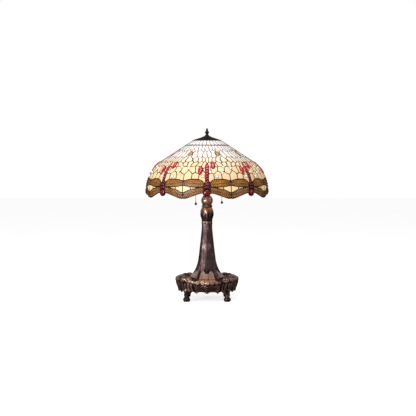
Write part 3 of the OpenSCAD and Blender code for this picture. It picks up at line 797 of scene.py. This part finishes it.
def triangulate(panes, extra):
    """Triangles over all the lines and extra points: angles and distances of their points, the
    faces, and the pane that each lies in (or -1)."""
    points, edges = [], []
    for pane in panes:
        first = len(points)
        points += [Vector(p) for p in pane.flat]
        count = len(pane.flat)
        edges += [(first + k, first + (k + 1) % count) for k in range(count)]
    points += [Vector(p) for p in extra]
    found = delaunay_2d_cdt(points, edges, [], 0, 1e-5, False)
    vertices = np.array([tuple(v) for v in found[0]])
    faces = np.array([tuple(f) for f in found[2]])
    middles = vertices[faces].mean(1)
    owner = np.full(len(faces), -1)
    smallest = np.full(len(faces), 1e12)
    for k, pane in enumerate(panes):
        low, high = pane.flat.min(0), pane.flat.max(0)
        near = np.nonzero(np.all((middles > low) & (middles < high), axis=1))[0]
        hit = near[holds(pane.flat, middles[near, 0], middles[near, 1])]
        hit = hit[abs(pane.area) < smallest[hit]]
        smallest[hit] = abs(pane.area)
        owner[hit] = k if pane.area > 0 else -1
    if area_of(vertices[faces[0]]) > 0:
        faces = faces[:, ::-1]
    return vertices[:, 0] / FLAT, vertices[:, 1], faces, owner


def thick_sheet(faces, a, s, outer, inner):
    """A closed solid from triangles on the wall: its faces at two heights and a wall on each open
    edge. Also says which of the points it uses."""
    used = np.unique(faces)
    place = {int(v): k for k, v in enumerate(used)}
    count = len(used)
    upper = [tuple(place[int(v)] for v in f) for f in faces]
    owned = dict.fromkeys(edge for f in upper for edge in zip(f, f[1:] + f[:1]))
    out = upper + [tuple(v + count for v in reversed(f)) for f in upper]
    out += [(q, p, p + count, q + count) for p, q in owned if (q, p) not in owned]
    points = np.vstack([on_wall(a, s, outer)[used], on_wall(a, s, inner)[used]])
    return points, out, used


def pane_heights(kind, depth, a, s):
    """Outer and inner height of the glass at a depth in from its edge."""
    if kind in DOMES:
        radius, rise = DOMES[kind]
        t = 1 - np.clip(depth / radius, 0, 1)
        dome = rise * np.sqrt(1 - t * t)
        return dome, np.full(depth.shape, -GLASS_T) - dome * 0.25
    pillow = 0.45 * np.clip(depth / 4, 0, 1)
    ripple = 0.16 * np.sin(a * 1.9 + s * 0.21) * np.clip(depth / 3, 0, 1)
    return pillow + ripple, -GLASS_T - pillow * 0.5


def dot_grid(panel, spacing, wanted):
    """Seed points on a staggered grid where wanted(kind, depth) holds."""
    step = PANEL_A / int(round(PANEL_A * FLAT / spacing))
    out = []
    for i, s in enumerate(np.arange(2.0, panel.s[-1] - 2, spacing * 0.87)):
        a = np.arange(-HALF_A + 1, HALF_A - 1, step) + (step / 2 if i % 2 else 0)
        depth = panel.sample(panel.field, a, np.full(a.shape, s))
        out += [(x * FLAT, s) for x in a[wanted(panel.kind_at(a, s), depth)]]
    return out


# Section of a bead of solder, as (share of its half width, share of its height) off the glass
CAME_SECTION = [(0.0, 0.05), (0.4, 0.8), (1.03, 1.0), (1.03, -1.0), (0.4, -0.8), (0.0, -0.05)]


def came_ring(pane, width, height):
    """A bead of solder round one pane: half the line on the outside and inside of the glass."""
    p = pane.true
    before, after = unit(p - np.roll(p, 1, axis=0)), unit(np.roll(p, -1, axis=0) - p)
    normal = np.stack([before[:, 1] + after[:, 1], -(before[:, 0] + after[:, 0])], 1)
    length = np.maximum(np.linalg.norm(normal, axis=1, keepdims=True), 1e-9)
    mitre = np.clip(2 / length, 1, 1.9)
    rows = []
    for across, rise in CAME_SECTION:
        q = p + normal / length * mitre * width[:, None] * across
        off = rise * height if rise > 0 else -GLASS_T + rise * height
        rows.append(np.stack([degrees_at(q), q[:, 1], np.full(len(q), off)], 1))
    return np.vstack(rows), loop_grid(len(rows), len(p))


def lead_width(panel, pane, limit):
    """Half the width of the lead outside each point of a pane, found by walking outwards."""
    p = pane.true
    along = unit(np.roll(p, -1, axis=0) - np.roll(p, 1, axis=0))
    normal = np.stack([along[:, 1], -along[:, 0]], 1)
    width = np.full(len(p), limit)
    for step in np.arange(2 * limit, 1.4, -0.3):
        q = p + normal * step
        width[panel.sample(panel.field, degrees_at(q), q[:, 1]) > 0] = step / 2
    return np.maximum(width, 1.0)


PANEL = Panel()
WINGS = ["upper_wing", "lower_wing", "gap"]
HEAVY_LEAD = WINGS + ["head", "body"]
PLAIN = {"tint": 0.5, "relief": 0.0}
FLUX_T = 0.35               # how far the flat solder between the beads stands off the glass
NET_HEIGHTS = (1.15, 0.25)  # outer and inner face of the wing veins, off the glass
LEAD_SPLIT = s_of(565)      # the upper came ends and the lower one starts here


def rim_at(a):
    """Distance down the wall to its scalloped rim."""
    rim = spline(RIM_LINE, 6)
    x = SHADE_R * np.abs(np.sin(np.radians(from_middle(a))))
    return s_of(np.interp(x, rim[:, 0], rim[:, 1]))


def kinds_of(panes, a, s, faces, owner):
    """The kind of each pane that holds glass, by the pattern under its triangles."""
    kinds = {}
    for k in range(len(panes)):
        mine = faces[owner == k]
        if len(mine) == 0:
            continue
        found = PANEL.kind_at(a[mine].mean(1), s[mine].mean(1))
        found = found[found >= 0]
        if len(found):
            kinds[k] = KINDS[np.bincount(found).argmax()]
    return kinds


def build_shade():
    """Glass, jewels and solder of the whole shade, from one panel's pattern turned eight times."""
    panes = panes_of(PANEL, PANEL.field, 0.22, 9)
    domed = [KINDS.index(k) for k in DOMES]
    wide = [KINDS.index(k) for k in WINGS]
    extra = dot_grid(PANEL, 2.6, lambda k, d: np.isin(k, domed) & (d > 0.9))
    extra += dot_grid(PANEL, 9.0, lambda k, d: np.isin(k, wide) & (d > 3))
    extra += dot_grid(PANEL, 7.0, lambda k, d: ~np.isin(k, wide + domed) & (d > 3))
    for a in np.arange(-HALF_A, HALF_A, 1.5):
        extra += [(a * FLAT, float(rim_at(a))), (a * FLAT, 0.0)]
    va, vs, faces, owner = triangulate(panes, extra)
    gathered = {k: Gatherer() for k in KINDS}
    leads = {"upper": Gatherer(), "lower": Gatherer()}
    rng = random.Random(5)
    depth = np.maximum(PANEL.sample(PANEL.field, va, vs), 0)
    keys = [(round(x, 3), round(y, 3)) for x, y in zip(va * FLAT, vs)]
    for k, kind in kinds_of(panes, va, vs, faces, owner).items():
        pane = panes[k]
        if not -PANEL_A / 2 <= pane.middle < PANEL_A / 2:
            continue
        mine = faces[owner == k]
        near = depth.copy()
        edge = {(round(x, 3), round(y, 3)) for x, y in pane.flat}
        near[[v for v in np.unique(mine) if keys[v] in edge]] = 0
        outer, inner = pane_heights(kind, near, va, vs)
        height, limit = (1.25, 3.4) if kind in HEAVY_LEAD else (0.95, 2.2)
        ring, ring_faces = came_ring(pane, lead_width(PANEL, pane, limit), height)
        part = "lower" if np.mean(vs[np.unique(mine)]) > LEAD_SPLIT else "upper"
        for turn in TURNS:
            points, solid, used = thick_sheet(mine, va + turn, vs, outer, inner)
            relief = np.concatenate([outer[used], outer[used] * 0.5])
            gathered[kind].gather(points, solid, tint=rng.random(), relief=relief)
            bead = on_wall(ring[:, 0] + turn, ring[:, 1], ring[:, 2])
            leads[part].gather(bead, ring_faces, **PLAIN)
    middle_a, middle_s = va[faces].mean(1), vs[faces].mean(1)
    within = (middle_a >= -PANEL_A / 2) & (middle_a < PANEL_A / 2)
    bare = faces[(owner < 0) & within & (middle_s < rim_at(middle_a))]
    low = vs[bare].mean(1) > LEAD_SPLIT
    for turn in TURNS:
        for part, chosen in (("upper", bare[~low]), ("lower", bare[low])):
            sheet = thick_sheet(chosen, va + turn, vs, FLUX_T, -GLASS_T - FLUX_T)
            leads[part].gather(*sheet[:2], **PLAIN)
    return gathered, leads


def finish_sheet(gatherer, names, crisp=50):
    """A piece of the shade, whose edges sharper than crisp degrees stay sharp."""
    name, look, slot, node = names
    mesh = gatherer.piece(name, "shade", look, slot, node)
    mesh.set_sharp_from_angle(angle=math.radians(crisp))


def filigree_piece():
    """The pierced plate on each wing: a fine net of veins between rows of small holes."""
    x, z = np.abs(PANEL.x), PANEL.z
    wing = -np.minimum(outline_distance(x, z, wing_outline(WING_TOP, WING_UNDER)),
                       outline_distance(x, z, wing_outline(LOW_TOP, LOW_UNDER)))
    rng = random.Random(29)
    pitch_x, pitch_z, border, vein, foot_z, top_z = 9.4, 6.8, 1.0, 0.55, 470, 565
    seeds = []
    for i in range(int((top_z - foot_z) / pitch_z) + 1):
        for k in range(int(PANEL_EDGE / pitch_x) + 3):
            sx = (k + (i % 2) / 2) * pitch_x + rng.uniform(-1.6, 1.6)
            seeds.append((sx, foot_z + i * pitch_z + rng.uniform(-1.1, 1.1)))
    near = wing > 0
    squares = np.stack([((x[near] - sx) / (pitch_x * 0.92)) ** 2 + ((z[near] - sz) / pitch_z) ** 2
                        for sx, sz in seeds])
    order = np.partition(squares, 1, axis=0)[:2]
    hole = np.full(x.shape, -1.0)
    hole[near] = (np.sqrt(order[1]) - np.sqrt(order[0])) / 2 * pitch_z * 1.1 - vein
    main_veins = [np.abs(z - (533 + 0.12 * x)), np.abs(z - (517 - 0.25 * x))]
    hole = np.minimum(hole, np.min(main_veins, axis=0) - 0.7)
    hole = np.minimum(hole, wing - border)
    edge = PANEL.arc(PANEL_A / 2 - np.abs(PANEL.local)) - LEAD
    field = np.minimum(np.minimum(wing - 0.25, edge), -hole)
    field[PANEL.grid_s < s_of(566)] = -1
    for side in (field[-1], field[:, 0], field[:, -1]):
        side[:] = -1
    va, vs, faces, owner = triangulate(panes_of(PANEL, field, 0.25, 3), [])
    plate = faces[(owner >= 0) & (np.abs(va[faces].mean(1)) < PANEL_A / 2)]
    net = Gatherer()
    for turn in TURNS:
        net.gather(*thick_sheet(plate, va + turn, vs, *NET_HEIGHTS)[:2], **PLAIN)
    finish_sheet(net, ("wing_veins", "filigree", "solder", "wing_filigree"))


def shade_pieces():
    gathered, leads = build_shade()
    looks = {
        "band": ("crown_band_panes", "background", "opal_glass", "glass_crown_band"),
        "rays": ("ray_panes", "background", "opal_glass", "glass_upper_rays"),
        "middle": ("middle_panes", "background", "cream_glass", "glass_middle_row"),
        "arches": ("arch_panes", "background", "cream_glass", "glass_arches"),
        "upper_wing": ("upper_wing_panes", "upper_wing", "wing_glass", "glass_upper_wings"),
        "lower_wing": ("lower_wing_panes", "lower_wing", "wing_glass", "glass_lower_wings"),
        "gap": ("gap_panes", "gap", "cream_glass", "glass_gap_panes"),
        "body": ("dragonfly_beads", "body_ruby", "ruby_glass", "dragonfly_bodies"),
        "head": ("dragonfly_eyes", "dark_ruby", "ruby_glass", "dragonfly_heads"),
        "ruby": ("ruby_cabochons", "ruby", "ruby_glass", "ruby_jewels"),
        "amber": ("amber_cabochons", "amber", "amber_jewel", "amber_jewels"),
        "opal": ("opal_cabochons", "opal", "opal_jewel", "opal_jewels"),
    }
    for kind, names in looks.items():
        finish_sheet(gathered[kind], names)
    finish_sheet(leads["upper"], ("solder_upper", "solder", "solder", "came_upper"), 60)
    finish_sheet(leads["lower"], ("solder_lower", "wing_lead", "solder", "came_lower"), 60)


shade_pieces()
filigree_piece()


# ---- Cast and turned pieces ----
def wander(theta, along, seed):
    """A smooth uneven field between about -1 and 1, the same at both ends of a turn."""
    rng = random.Random(seed)
    total = 0.0
    for k in range(1, 6):
        turns = rng.randint(2, 4) * k
        total = total + np.sin(turns * theta + along * rng.uniform(0.03, 0.07) * k
                               + rng.uniform(0, TAU)) / k
    return total / 2.2


def scroll(x, y, radius, pitch, hand):
    """A volute: a ridge that winds in towards the place where x and y are 0."""
    distance = np.hypot(x, y)
    ridge = 0.5 + 0.5 * np.cos(TAU * distance / pitch - hand * np.arctan2(y, x))
    return ridge * smoothstep(radius, radius * 0.72, distance)


def off_nearest(angle, count):
    """Angle from the nearest of a number of evenly spaced directions."""
    pitch = TAU / count
    return angle - np.round(angle / pitch) * pitch


def base_piece():
    """The footed base: a swelling ring with scrolls, woven leaf ribs and a scalloped skirt."""
    base_r = millimetres("base_casting")[1][0]
    skirt_z, skirt_arch, foot_z, wall = 38.0, 11.0, 50.0, 4.5
    seat_r, blend, dip = 86.0, 30.0, 0.03
    front_drop = 9.0
    face_r, curl_r = 138, 142       # radii at which the ornament's sideways lengths are measured
    seat, lip, wall_top = 24, 82, 104       # distances out from the shaft, down the outside
    outer = spline([(base_r - 14, skirt_z), (base_r - 12.5, 46), (base_r - 10, 56),
                    (base_r - 6, 67), (base_r - 2, 80), (base_r, 92), (base_r - 2, 102),
                    (base_r - 8, 109), (base_r - 18, 112), (base_r - 30, 110.5), (104, 105.5),
                    (96, 100.5), (88, 97), (70, 96)], 1.7)
    inner = [(base_r - 14 - wall, skirt_z), (base_r - 15, 52), (base_r - 8, 76),
             (base_r - 8, 96), (base_r - 24, 105), (100, 97), (70, 91)]
    length = np.sum(np.linalg.norm(np.diff(outer, axis=0), axis=1))

    def shape(theta, r, z, along):
        share = np.clip((r - seat_r) / blend, 0, 1)
        lobed = r * (1 - share * dip * np.abs(np.sin(4 * theta)) ** 1.5)
        front = smoothstep(0.8, 0.93, np.abs(np.cos(theta)))
        z = z - front_drop * front * smoothstep(96, 122, r) * smoothstep(58, 90, z)
        skirt = skirt_z + skirt_arch * np.abs(np.sin(8 * theta))
        hang = np.clip((foot_z - z) / (foot_z - skirt_z), 0, 1)
        return lobed, np.where(z < foot_z, foot_z + (skirt - foot_z) * hang, z)

    def parts(theta, along):
        """Distance out from the seat, and sideways from the middles of the faces and corners."""
        out = length - along
        return out, off_nearest(theta, 4) * face_r, off_nearest(theta + TAU / 8, 4) * face_r

    def relief(theta, r, z, along):
        out, face, corner = parts(theta, along)
        on_face = smoothstep(66, 56, np.abs(face))
        weave = np.maximum(
            (0.5 + 0.5 * np.cos(TAU * (out - 1.15 * np.abs(face)) / 15)) ** 3,
            0.75 * (0.5 + 0.5 * np.cos(TAU * (out + 1.15 * np.abs(face)) / 19)) ** 3)
        weave = 2.6 * weave * on_face * smoothstep(92, 100, out)
        curl = off_nearest(theta, 40) * curl_r
        curls = 2.6 * scroll(curl, out - 84, 10.5, 6.5, np.sign(face) * 1.0) * on_face
        volutes = 3.2 * scroll(np.abs(corner) - 17, out - 76, 19, 8.5, -1.0)
        swirl = 2.8 * scroll(corner, out - 46, 24, 10.0, 1.0)
        folds = smoothstep(44, 30, np.abs(corner)) * smoothstep(90, wall_top, out) * (
            1.2 + 0.9 * np.cos(TAU * corner / 17 + 0.7 * np.sin(out / 8)))
        roots = 1.5 * smoothstep(56, 30, out) * smoothstep(12, seat, out) * np.cos(
            24 * theta + 1.5 * np.sin(out / 9))
        hem = 1.2 * smoothstep(length - 7, length - 4, out)
        return np.maximum.reduce([weave, curls, volutes, swirl, folds]) + roots + hem + (
            0.7 * wander(theta, out, 3))

    # Painted highlight: a bright band along the lip of the shoulder and on the upward-facing leaf
    # fans, where light falls on them.
    def shine(theta, r, z, along):
        out, face, _ = parts(theta, along)
        edge = np.exp(-((out - lip) / 9) ** 2)
        fan = smoothstep(44, 34, np.abs(face)) * smoothstep(lip, 70, out)
        return 1.1 * edge + 2.2 * fan

    cast("footed_base", "stand", "bronze", "bronze", "base_casting", outer, inner, 480,
         shape=shape, relief=relief, shine=shine)


def leg_pieces():
    """Four short legs that grow out of the base, on bun feet with toes."""
    foot_r, leg_z, leg_top_z, sole_z, lean = 16.0, 24.5, 58, 2.0, 9.0
    reach = millimetres("feet")[1][0] - foot_r
    legs, feet = Casting(), Casting()
    profile = spline([(10.4, leg_z), (10.2, 28), (12.6, 34), (17, 41), (22, 49), (25, leg_top_z)], 1.6)
    bun = spline([(12.5, sole_z), (14.6, 3.6), (foot_r, 7.5), (15.6, 12), (13.4, 17), (10.9, 20.5),
                  (10.6, 25)], 1.2)
    for sx in (-1, 1):
        for sy in (-1, 1):
            facing = math.atan2(sx, -sy)

            def stand(points, lean=0.0, sx=sx, sy=sy):
                """Moves a piece to its corner, its top leaning in towards the axis."""
                up = np.clip((points[:, 2] - 25) / 33, 0, 1) * lean
                return points + np.stack([sx * (reach - up), sy * (reach - up), 0 * up], 1)

            def folds(theta, r, z, along):
                return 1.5 * np.cos(5 * (theta - facing)) * smoothstep(27, 40, z) + 0.5 * wander(
                    theta, along, 8)

            def toes(theta, r, z, along):
                front = 0.5 + 0.5 * np.cos(theta - facing)
                return 1.3 * front * np.abs(np.cos(2.5 * (theta - facing))) * smoothstep(19, 9, z)

            legs.add(profile, [(5, leg_z), (5, leg_top_z)], 48, relief=folds,
                     place=lambda p, stand=stand: stand(p, lean))
            feet.add(bun, [(5.5, sole_z), (5.5, 25)], 48, relief=toes, place=stand)
    legs.piece("flared_legs", "stand", "bronze", "bronze", "legs")
    feet.piece("bun_feet", "stand", "bronze", "bronze", "feet")


def shaft_piece():
    """The fluted shaft, with root-like veins at its foot and a ring of leaf tips at its top."""
    low, high = millimetres("column_shaft")
    foot_z, top_z, foot_r = low[2], high[2], high[0]
    line = spline([(foot_r, foot_z), (80, 100), (73, 108), (61, 126), (56, 135), (47, 158),
                   (41, 181), (35, 227), (29.5, 273), (25.5, 315), (24.2, 340), (24, top_z)], 2.6)

    def shape(theta, r, z, along):
        depth = 0.12 + 0.05 * smoothstep(200, 120, z)
        return r * (1 - depth * np.abs(np.sin(4 * theta)) ** 0.8), z

    def rib_wave(theta):
        return np.abs(np.cos(11 * off_nearest(theta, 4)))

    def fan(theta, r, z):
        """The leaf fan at the foot of each face, with two raised tips."""
        x = np.abs(off_nearest(theta, 4) * r)
        top = 122 + 14 * np.exp(-((x - 19) / 9) ** 2)
        half = 27 + 0.35 * (134 - z)
        return smoothstep(half, half - 2, x) * smoothstep(top, top - 3, z)

    def relief(theta, r, z, along):
        bend = 1.2 * np.sin(z / 31)
        veins = 0.22 * np.cos(32 * theta + bend) * smoothstep(345, 300, z)
        roots = 1.3 * smoothstep(165, 106, z) * np.cos(16 * theta + 0.8 * np.sin(z / 17 + theta))
        leaf = fan(theta, r, z)
        ribs = leaf * (1.0 + 2.2 * rib_wave(theta))
        tips = 0.7 * smoothstep(334, 342, z - 9 * np.abs(np.cos(4 * theta))) * np.abs(
            np.cos(4 * theta + 0.3))
        ring = 0.6 * np.exp(-((z - 356) / 3.0) ** 2)
        return veins + roots * (1 - leaf) + ribs + tips + ring + 0.35 * wander(theta, along, 21)

    # Painted highlight on the leaf fans at the foot of the shaft, brightest on their ribs.
    def shine(theta, r, z, along):
        return fan(theta, r, z) * (3.4 + 3.2 * rib_wave(theta))

    inner = [(foot_r * 0.8, foot_z), (52, 112), (34, 181), (20, 273), (16, top_z)]
    cast("fluted_shaft", "stand", "shaft_bronze", "bronze", "column_shaft", line, inner, 256,
         shape=shape, relief=relief, shine=shine)


def ball_arc(radius, mid, start, end, count):
    return [(radius * math.cos(a), mid + radius * math.sin(a))
            for a in np.linspace(start, end, count)]


def wireway(foot_z, top_z):
    """The plain bore through a casting of the neck."""
    return [(7, foot_z), (7, top_z)]


def neck_pieces():
    """Urn, collar and gadrooned ball between the shaft and the lights."""
    urn_z = millimetres("column_urn")[0][2]
    urn_top_z, collar_z, ball_z, ball_top_z = 423.5, 424, 436, 478
    urn = spline([(24.3, urn_z), (25.6, 366), (24.4, 370), (28, 383), (30.5, 397), (29.5, 408),
                  (26, 417), (21.8, urn_top_z)], 1.4)

    def urn_relief(theta, r, z, along):
        leaves = 1.5 * smoothstep(397, 388, z - 9 * np.abs(np.cos(3 * theta))) * smoothstep(
            367, 373, z)
        swirl = 0.7 * np.cos(5 * theta + (z - 400) / 8) * smoothstep(396, 408, z)
        return leaves * (0.6 + 0.4 * np.cos(12 * theta)) + swirl + 0.3 * wander(theta, z, 5)

    # Painted light: the upward-facing shoulder is lightened, the downward-facing swell below it
    # darkened.
    def urn_shine(theta, r, z, along):
        return 0.5 * smoothstep(398, 408, z) - 0.6 * smoothstep(402, 392, z)

    cast("leafed_urn", "stand", "turned_bronze", "bronze", "column_urn", urn,
         wireway(urn_z, urn_top_z), 160, relief=urn_relief, shine=urn_shine)
    collar = spline([(21.5, collar_z), (23.4, 426.6), (24.2, 430), (23.4, 433.4),
                     (21.5, ball_z)], 0.8)

    def rope(theta, r, z, along):
        return 0.5 * np.cos(28 * theta + (z - 430) / 2.2) * smoothstep(24.0 - 2.2, 24.0, r)

    cast("neck_collar", "stand", "turned_bronze", "bronze", "column_collar", collar,
         wireway(collar_z, ball_z), 168, relief=rope)
    ball_r, mid, half = 27.0, 455.5, 0.86
    arc = ball_arc(ball_r, mid, -0.8, half, 22)
    ball = [(15, ball_z), (17.4, 436.6)] + arc + [(15.5, 477.4), (15, ball_top_z)]

    def gadroons(theta, r, z, along):
        fade = smoothstep(15.5, 22, r)
        return fade * (0.6 * np.abs(np.cos(5 * theta + (z - mid) / 24)) - 0.4)

    # Painted highlight round the ball's widest part.
    def ball_shine(theta, r, z, along):
        return 1.5 * smoothstep(18, 24, r)

    cast("gadrooned_ball", "stand", "turned_bronze", "bronze", "column_ball", ball,
         wireway(ball_z, ball_top_z), 192, relief=gadroons, shine=ball_shine)


def cap_pieces():
    """The vented-looking ribbed cap and its finial."""
    low, high = millimetres("heat_cap")
    foot, top = low[2], high[2]
    cap = spline([(61, foot), (64.5, foot + 0.2), (65.4, foot + 1.2), (63.8, foot + 2.0),
                  (50, foot + 6.4), (37, foot + 10.6), (25, foot + 14.8), (14, foot + 20.0),
                  (11, top - 0.2), (4, top)], 1.6)

    def ribs(theta, r, z, along):
        ring = np.exp(-((r - 56) / 1.2) ** 2) + np.exp(-((r - 17) / 1.2) ** 2)
        return 0.45 * np.cos(36 * theta) * smoothstep(18, 24, r) * smoothstep(58, 54, r) + (
            0.7 * ring)

    inner = [(60, foot), (50, foot + 4.6), (36, foot + 9), (24, foot + 13.2), (11, top - 1.8),
             (4, top - 1.5)]
    cast("ribbed_cap", "cap", "dark_bronze", "dark_bronze", "heat_cap", cap, inner, 288,
         relief=ribs)
    low, high = millimetres("finial")
    foot, top = low[2], high[2]
    line = spline([(9.6, foot), (10, foot + 1.4), (7.2, foot + 5), (5.6, foot + 7.8),
                   (7.4, foot + 10.4), (9.5, foot + 13.8), (8.6, foot + 17.8),
                   (5.6, foot + 22.3), (4.2, foot + 26.3), (4.7, foot + 29.5), (3.4, top - 1.4),
                   (0.4, top)], 0.8)

    def flutes(theta, r, z, along):
        return 0.35 * np.cos(10 * theta) * smoothstep(6.4, 8.6, r)

    cast("turned_finial", "finial", "dark_bronze", "dark_bronze", "finial", line,
         [(3.2, foot), (3.2, foot + 12), (0.3, top - 3)], 96, relief=flutes)


def chain_pieces():
    """Bead chains and their turned pulls, one set for each socket."""
    bead, bead_r, wire_r = 4.0, 1.75, 0.5
    for n in (1, 2, 3):
        low, high = millimetres(f"pull_chain_{n}")
        middle = (low + high) / 2
        z = np.arange(low[2] + 0.1, high[2], 0.4)
        ride = (z - low[2]) % bead - bead / 2
        r = np.maximum(wire_r, np.sqrt(np.maximum(bead_r ** 2 - ride ** 2, 0)))

        def shift(points, middle=middle):
            return points + np.array([middle[0], middle[1], 0])

        cast(f"bead_chain_{n}", f"chain_{n}", "brass", "brass", f"pull_chain_{n}",
             np.stack([r, z], 1), [(0.1, z[0]), (0.1, z[-1])], 12, place=shift)
        low, high = millimetres(f"pull_ball_{n}")
        ball_r = (high[0] - low[0]) / 2
        mid = low[2] + ball_r
        arc = ball_arc(ball_r, mid, -1.45, 1.0, 20)
        neck = [(2.6, mid + ball_r * 0.98), (2.0, mid + ball_r + 0.6), (2.3, high[2] - 0.8),
                (1.6, high[2])]

        def groove(theta, r, z, along, mid=mid):
            return -0.35 * np.exp(-((z - mid) / 0.5) ** 2)

        cast(f"turned_pull_{n}", f"chain_{n}", "pull_ball", "pull_ball", f"pull_ball_{n}",
             arc + neck, [(0.3, arc[0][1] + 0.2), (0.3, high[2] - 0.2)], 40, relief=groove,
             place=shift)


base_piece()
leg_pieces()
shaft_piece()
neck_pieces()
cap_pieces()
chain_pieces()


# ---- CAD nodes that keep their shape ----
def three(name):
    return [f"{name}_{n}" for n in (1, 2, 3)]


CAD_LOOKS = {
    "felt": ["floor_pads"],
    "steel": ["foot_screws", "clamp_washer", "base_nut", "tie_rod", "riser_rod"],
    "bushing": ["cord_bushing"],
    "brass": ["neck_nut", "cluster_body", "cluster_cover", "socket_arms", "spider_nut",
              "shade_spider", "crown_ring"] + three("socket_shell"),
    "porcelain": three("socket_core"),
    "liner": three("socket_liner"),
    "bulb_cap": three("bulb_cap"),
    "bulb": three("bulb_glass"),
    "solder": ["came_ring"],
}
for look, names in CAD_LOOKS.items():
    for name in names:
        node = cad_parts[name]
        node.data.materials.clear()
        node.data.materials.append(MATERIALS[look])


# ---- Stage, camera and light ----
def build_stage():
    floor = bpy.data.meshes.new("floor")
    size = 12.0
    floor.from_pydata([(-size, -size, 0), (size, -size, 0), (size, size, 0), (-size, size, 0)],
                      [], [(0, 1, 2, 3)])
    piece = new_object("floor", floor)
    s = Shader("pale_floor", Roughness=0.9)
    cloud = s.noise(3, 3, 0.5)
    seen = s.add("ShaderNodeLightPath").outputs["Is Camera Ray"]
    colour = s.mix(seen, (96, 92, 90), s.ramp(cloud, (0.2, (238, 238, 238)), (0.8, (242, 242, 242))))
    s.colour(colour)
    s.glow(s.mix(seen, (0, 0, 0), colour), 0.86)
    floor.materials.append(s.material)


def aim(thing, place, target):
    thing.location = place
    thing.rotation_euler = (Vector(target) - Vector(place)).to_track_quat("-Z", "Y").to_euler()


def area_light(name, place, target, size, power):
    data = bpy.data.lights.new(name, "AREA")
    data.shape = "RECTANGLE"
    data.size, data.size_y = size
    data.energy = power
    aim(new_object(name, data), place, target)


def build_light():
    scene = bpy.context.scene
    world = bpy.data.worlds.new("studio")
    world.use_nodes = True
    nodes, links = world.node_tree.nodes, world.node_tree.links
    lit = nodes["Background"]
    lit.inputs["Color"].default_value = (1, 1, 1, 1)
    lit.inputs["Strength"].default_value = 0.24
    seen = nodes.new("ShaderNodeBackground")
    seen.inputs["Color"].default_value = (1, 1, 1, 1)
    chooser, path = nodes.new("ShaderNodeMixShader"), nodes.new("ShaderNodeLightPath")
    links.new(path.outputs["Is Camera Ray"], chooser.inputs["Fac"])
    links.new(lit.outputs["Background"], chooser.inputs[1])
    links.new(seen.outputs["Background"], chooser.inputs[2])
    links.new(chooser.outputs["Shader"], nodes["World Output"].inputs["Surface"])
    scene.world = world
    scene.view_settings.view_transform = "Standard"
    middle = (0, 0, 0.4)
    area_light("key", (-1.7, -2.3, 0.75), middle, (0.9, 1.7), 62)
    area_light("fill", (2.5, -1.2, 0.8), middle, (0.4, 1.6), 8)
    area_light("top", (0.2, -0.6, 2.6), middle, (1.4, 1.4), 26)


def build_camera():
    """A level view from the front, a little above the middle of the lamp."""
    data = bpy.data.cameras.new("camera")
    camera = new_object("camera", data)
    distance, eye_z, aim_z, frame_width = 5.3, 0.67, 0.421, 1.914
    aim_x = 0.0046
    target = Vector((aim_x, 0, aim_z))
    aim(camera, (aim_x, -distance, eye_z), target)
    data.sensor_width = 36.0
    data.lens = data.sensor_width * (target - camera.location).length / frame_width
    data.clip_end = 100
    bpy.context.scene.camera = camera


build_stage()
build_light()
build_camera()
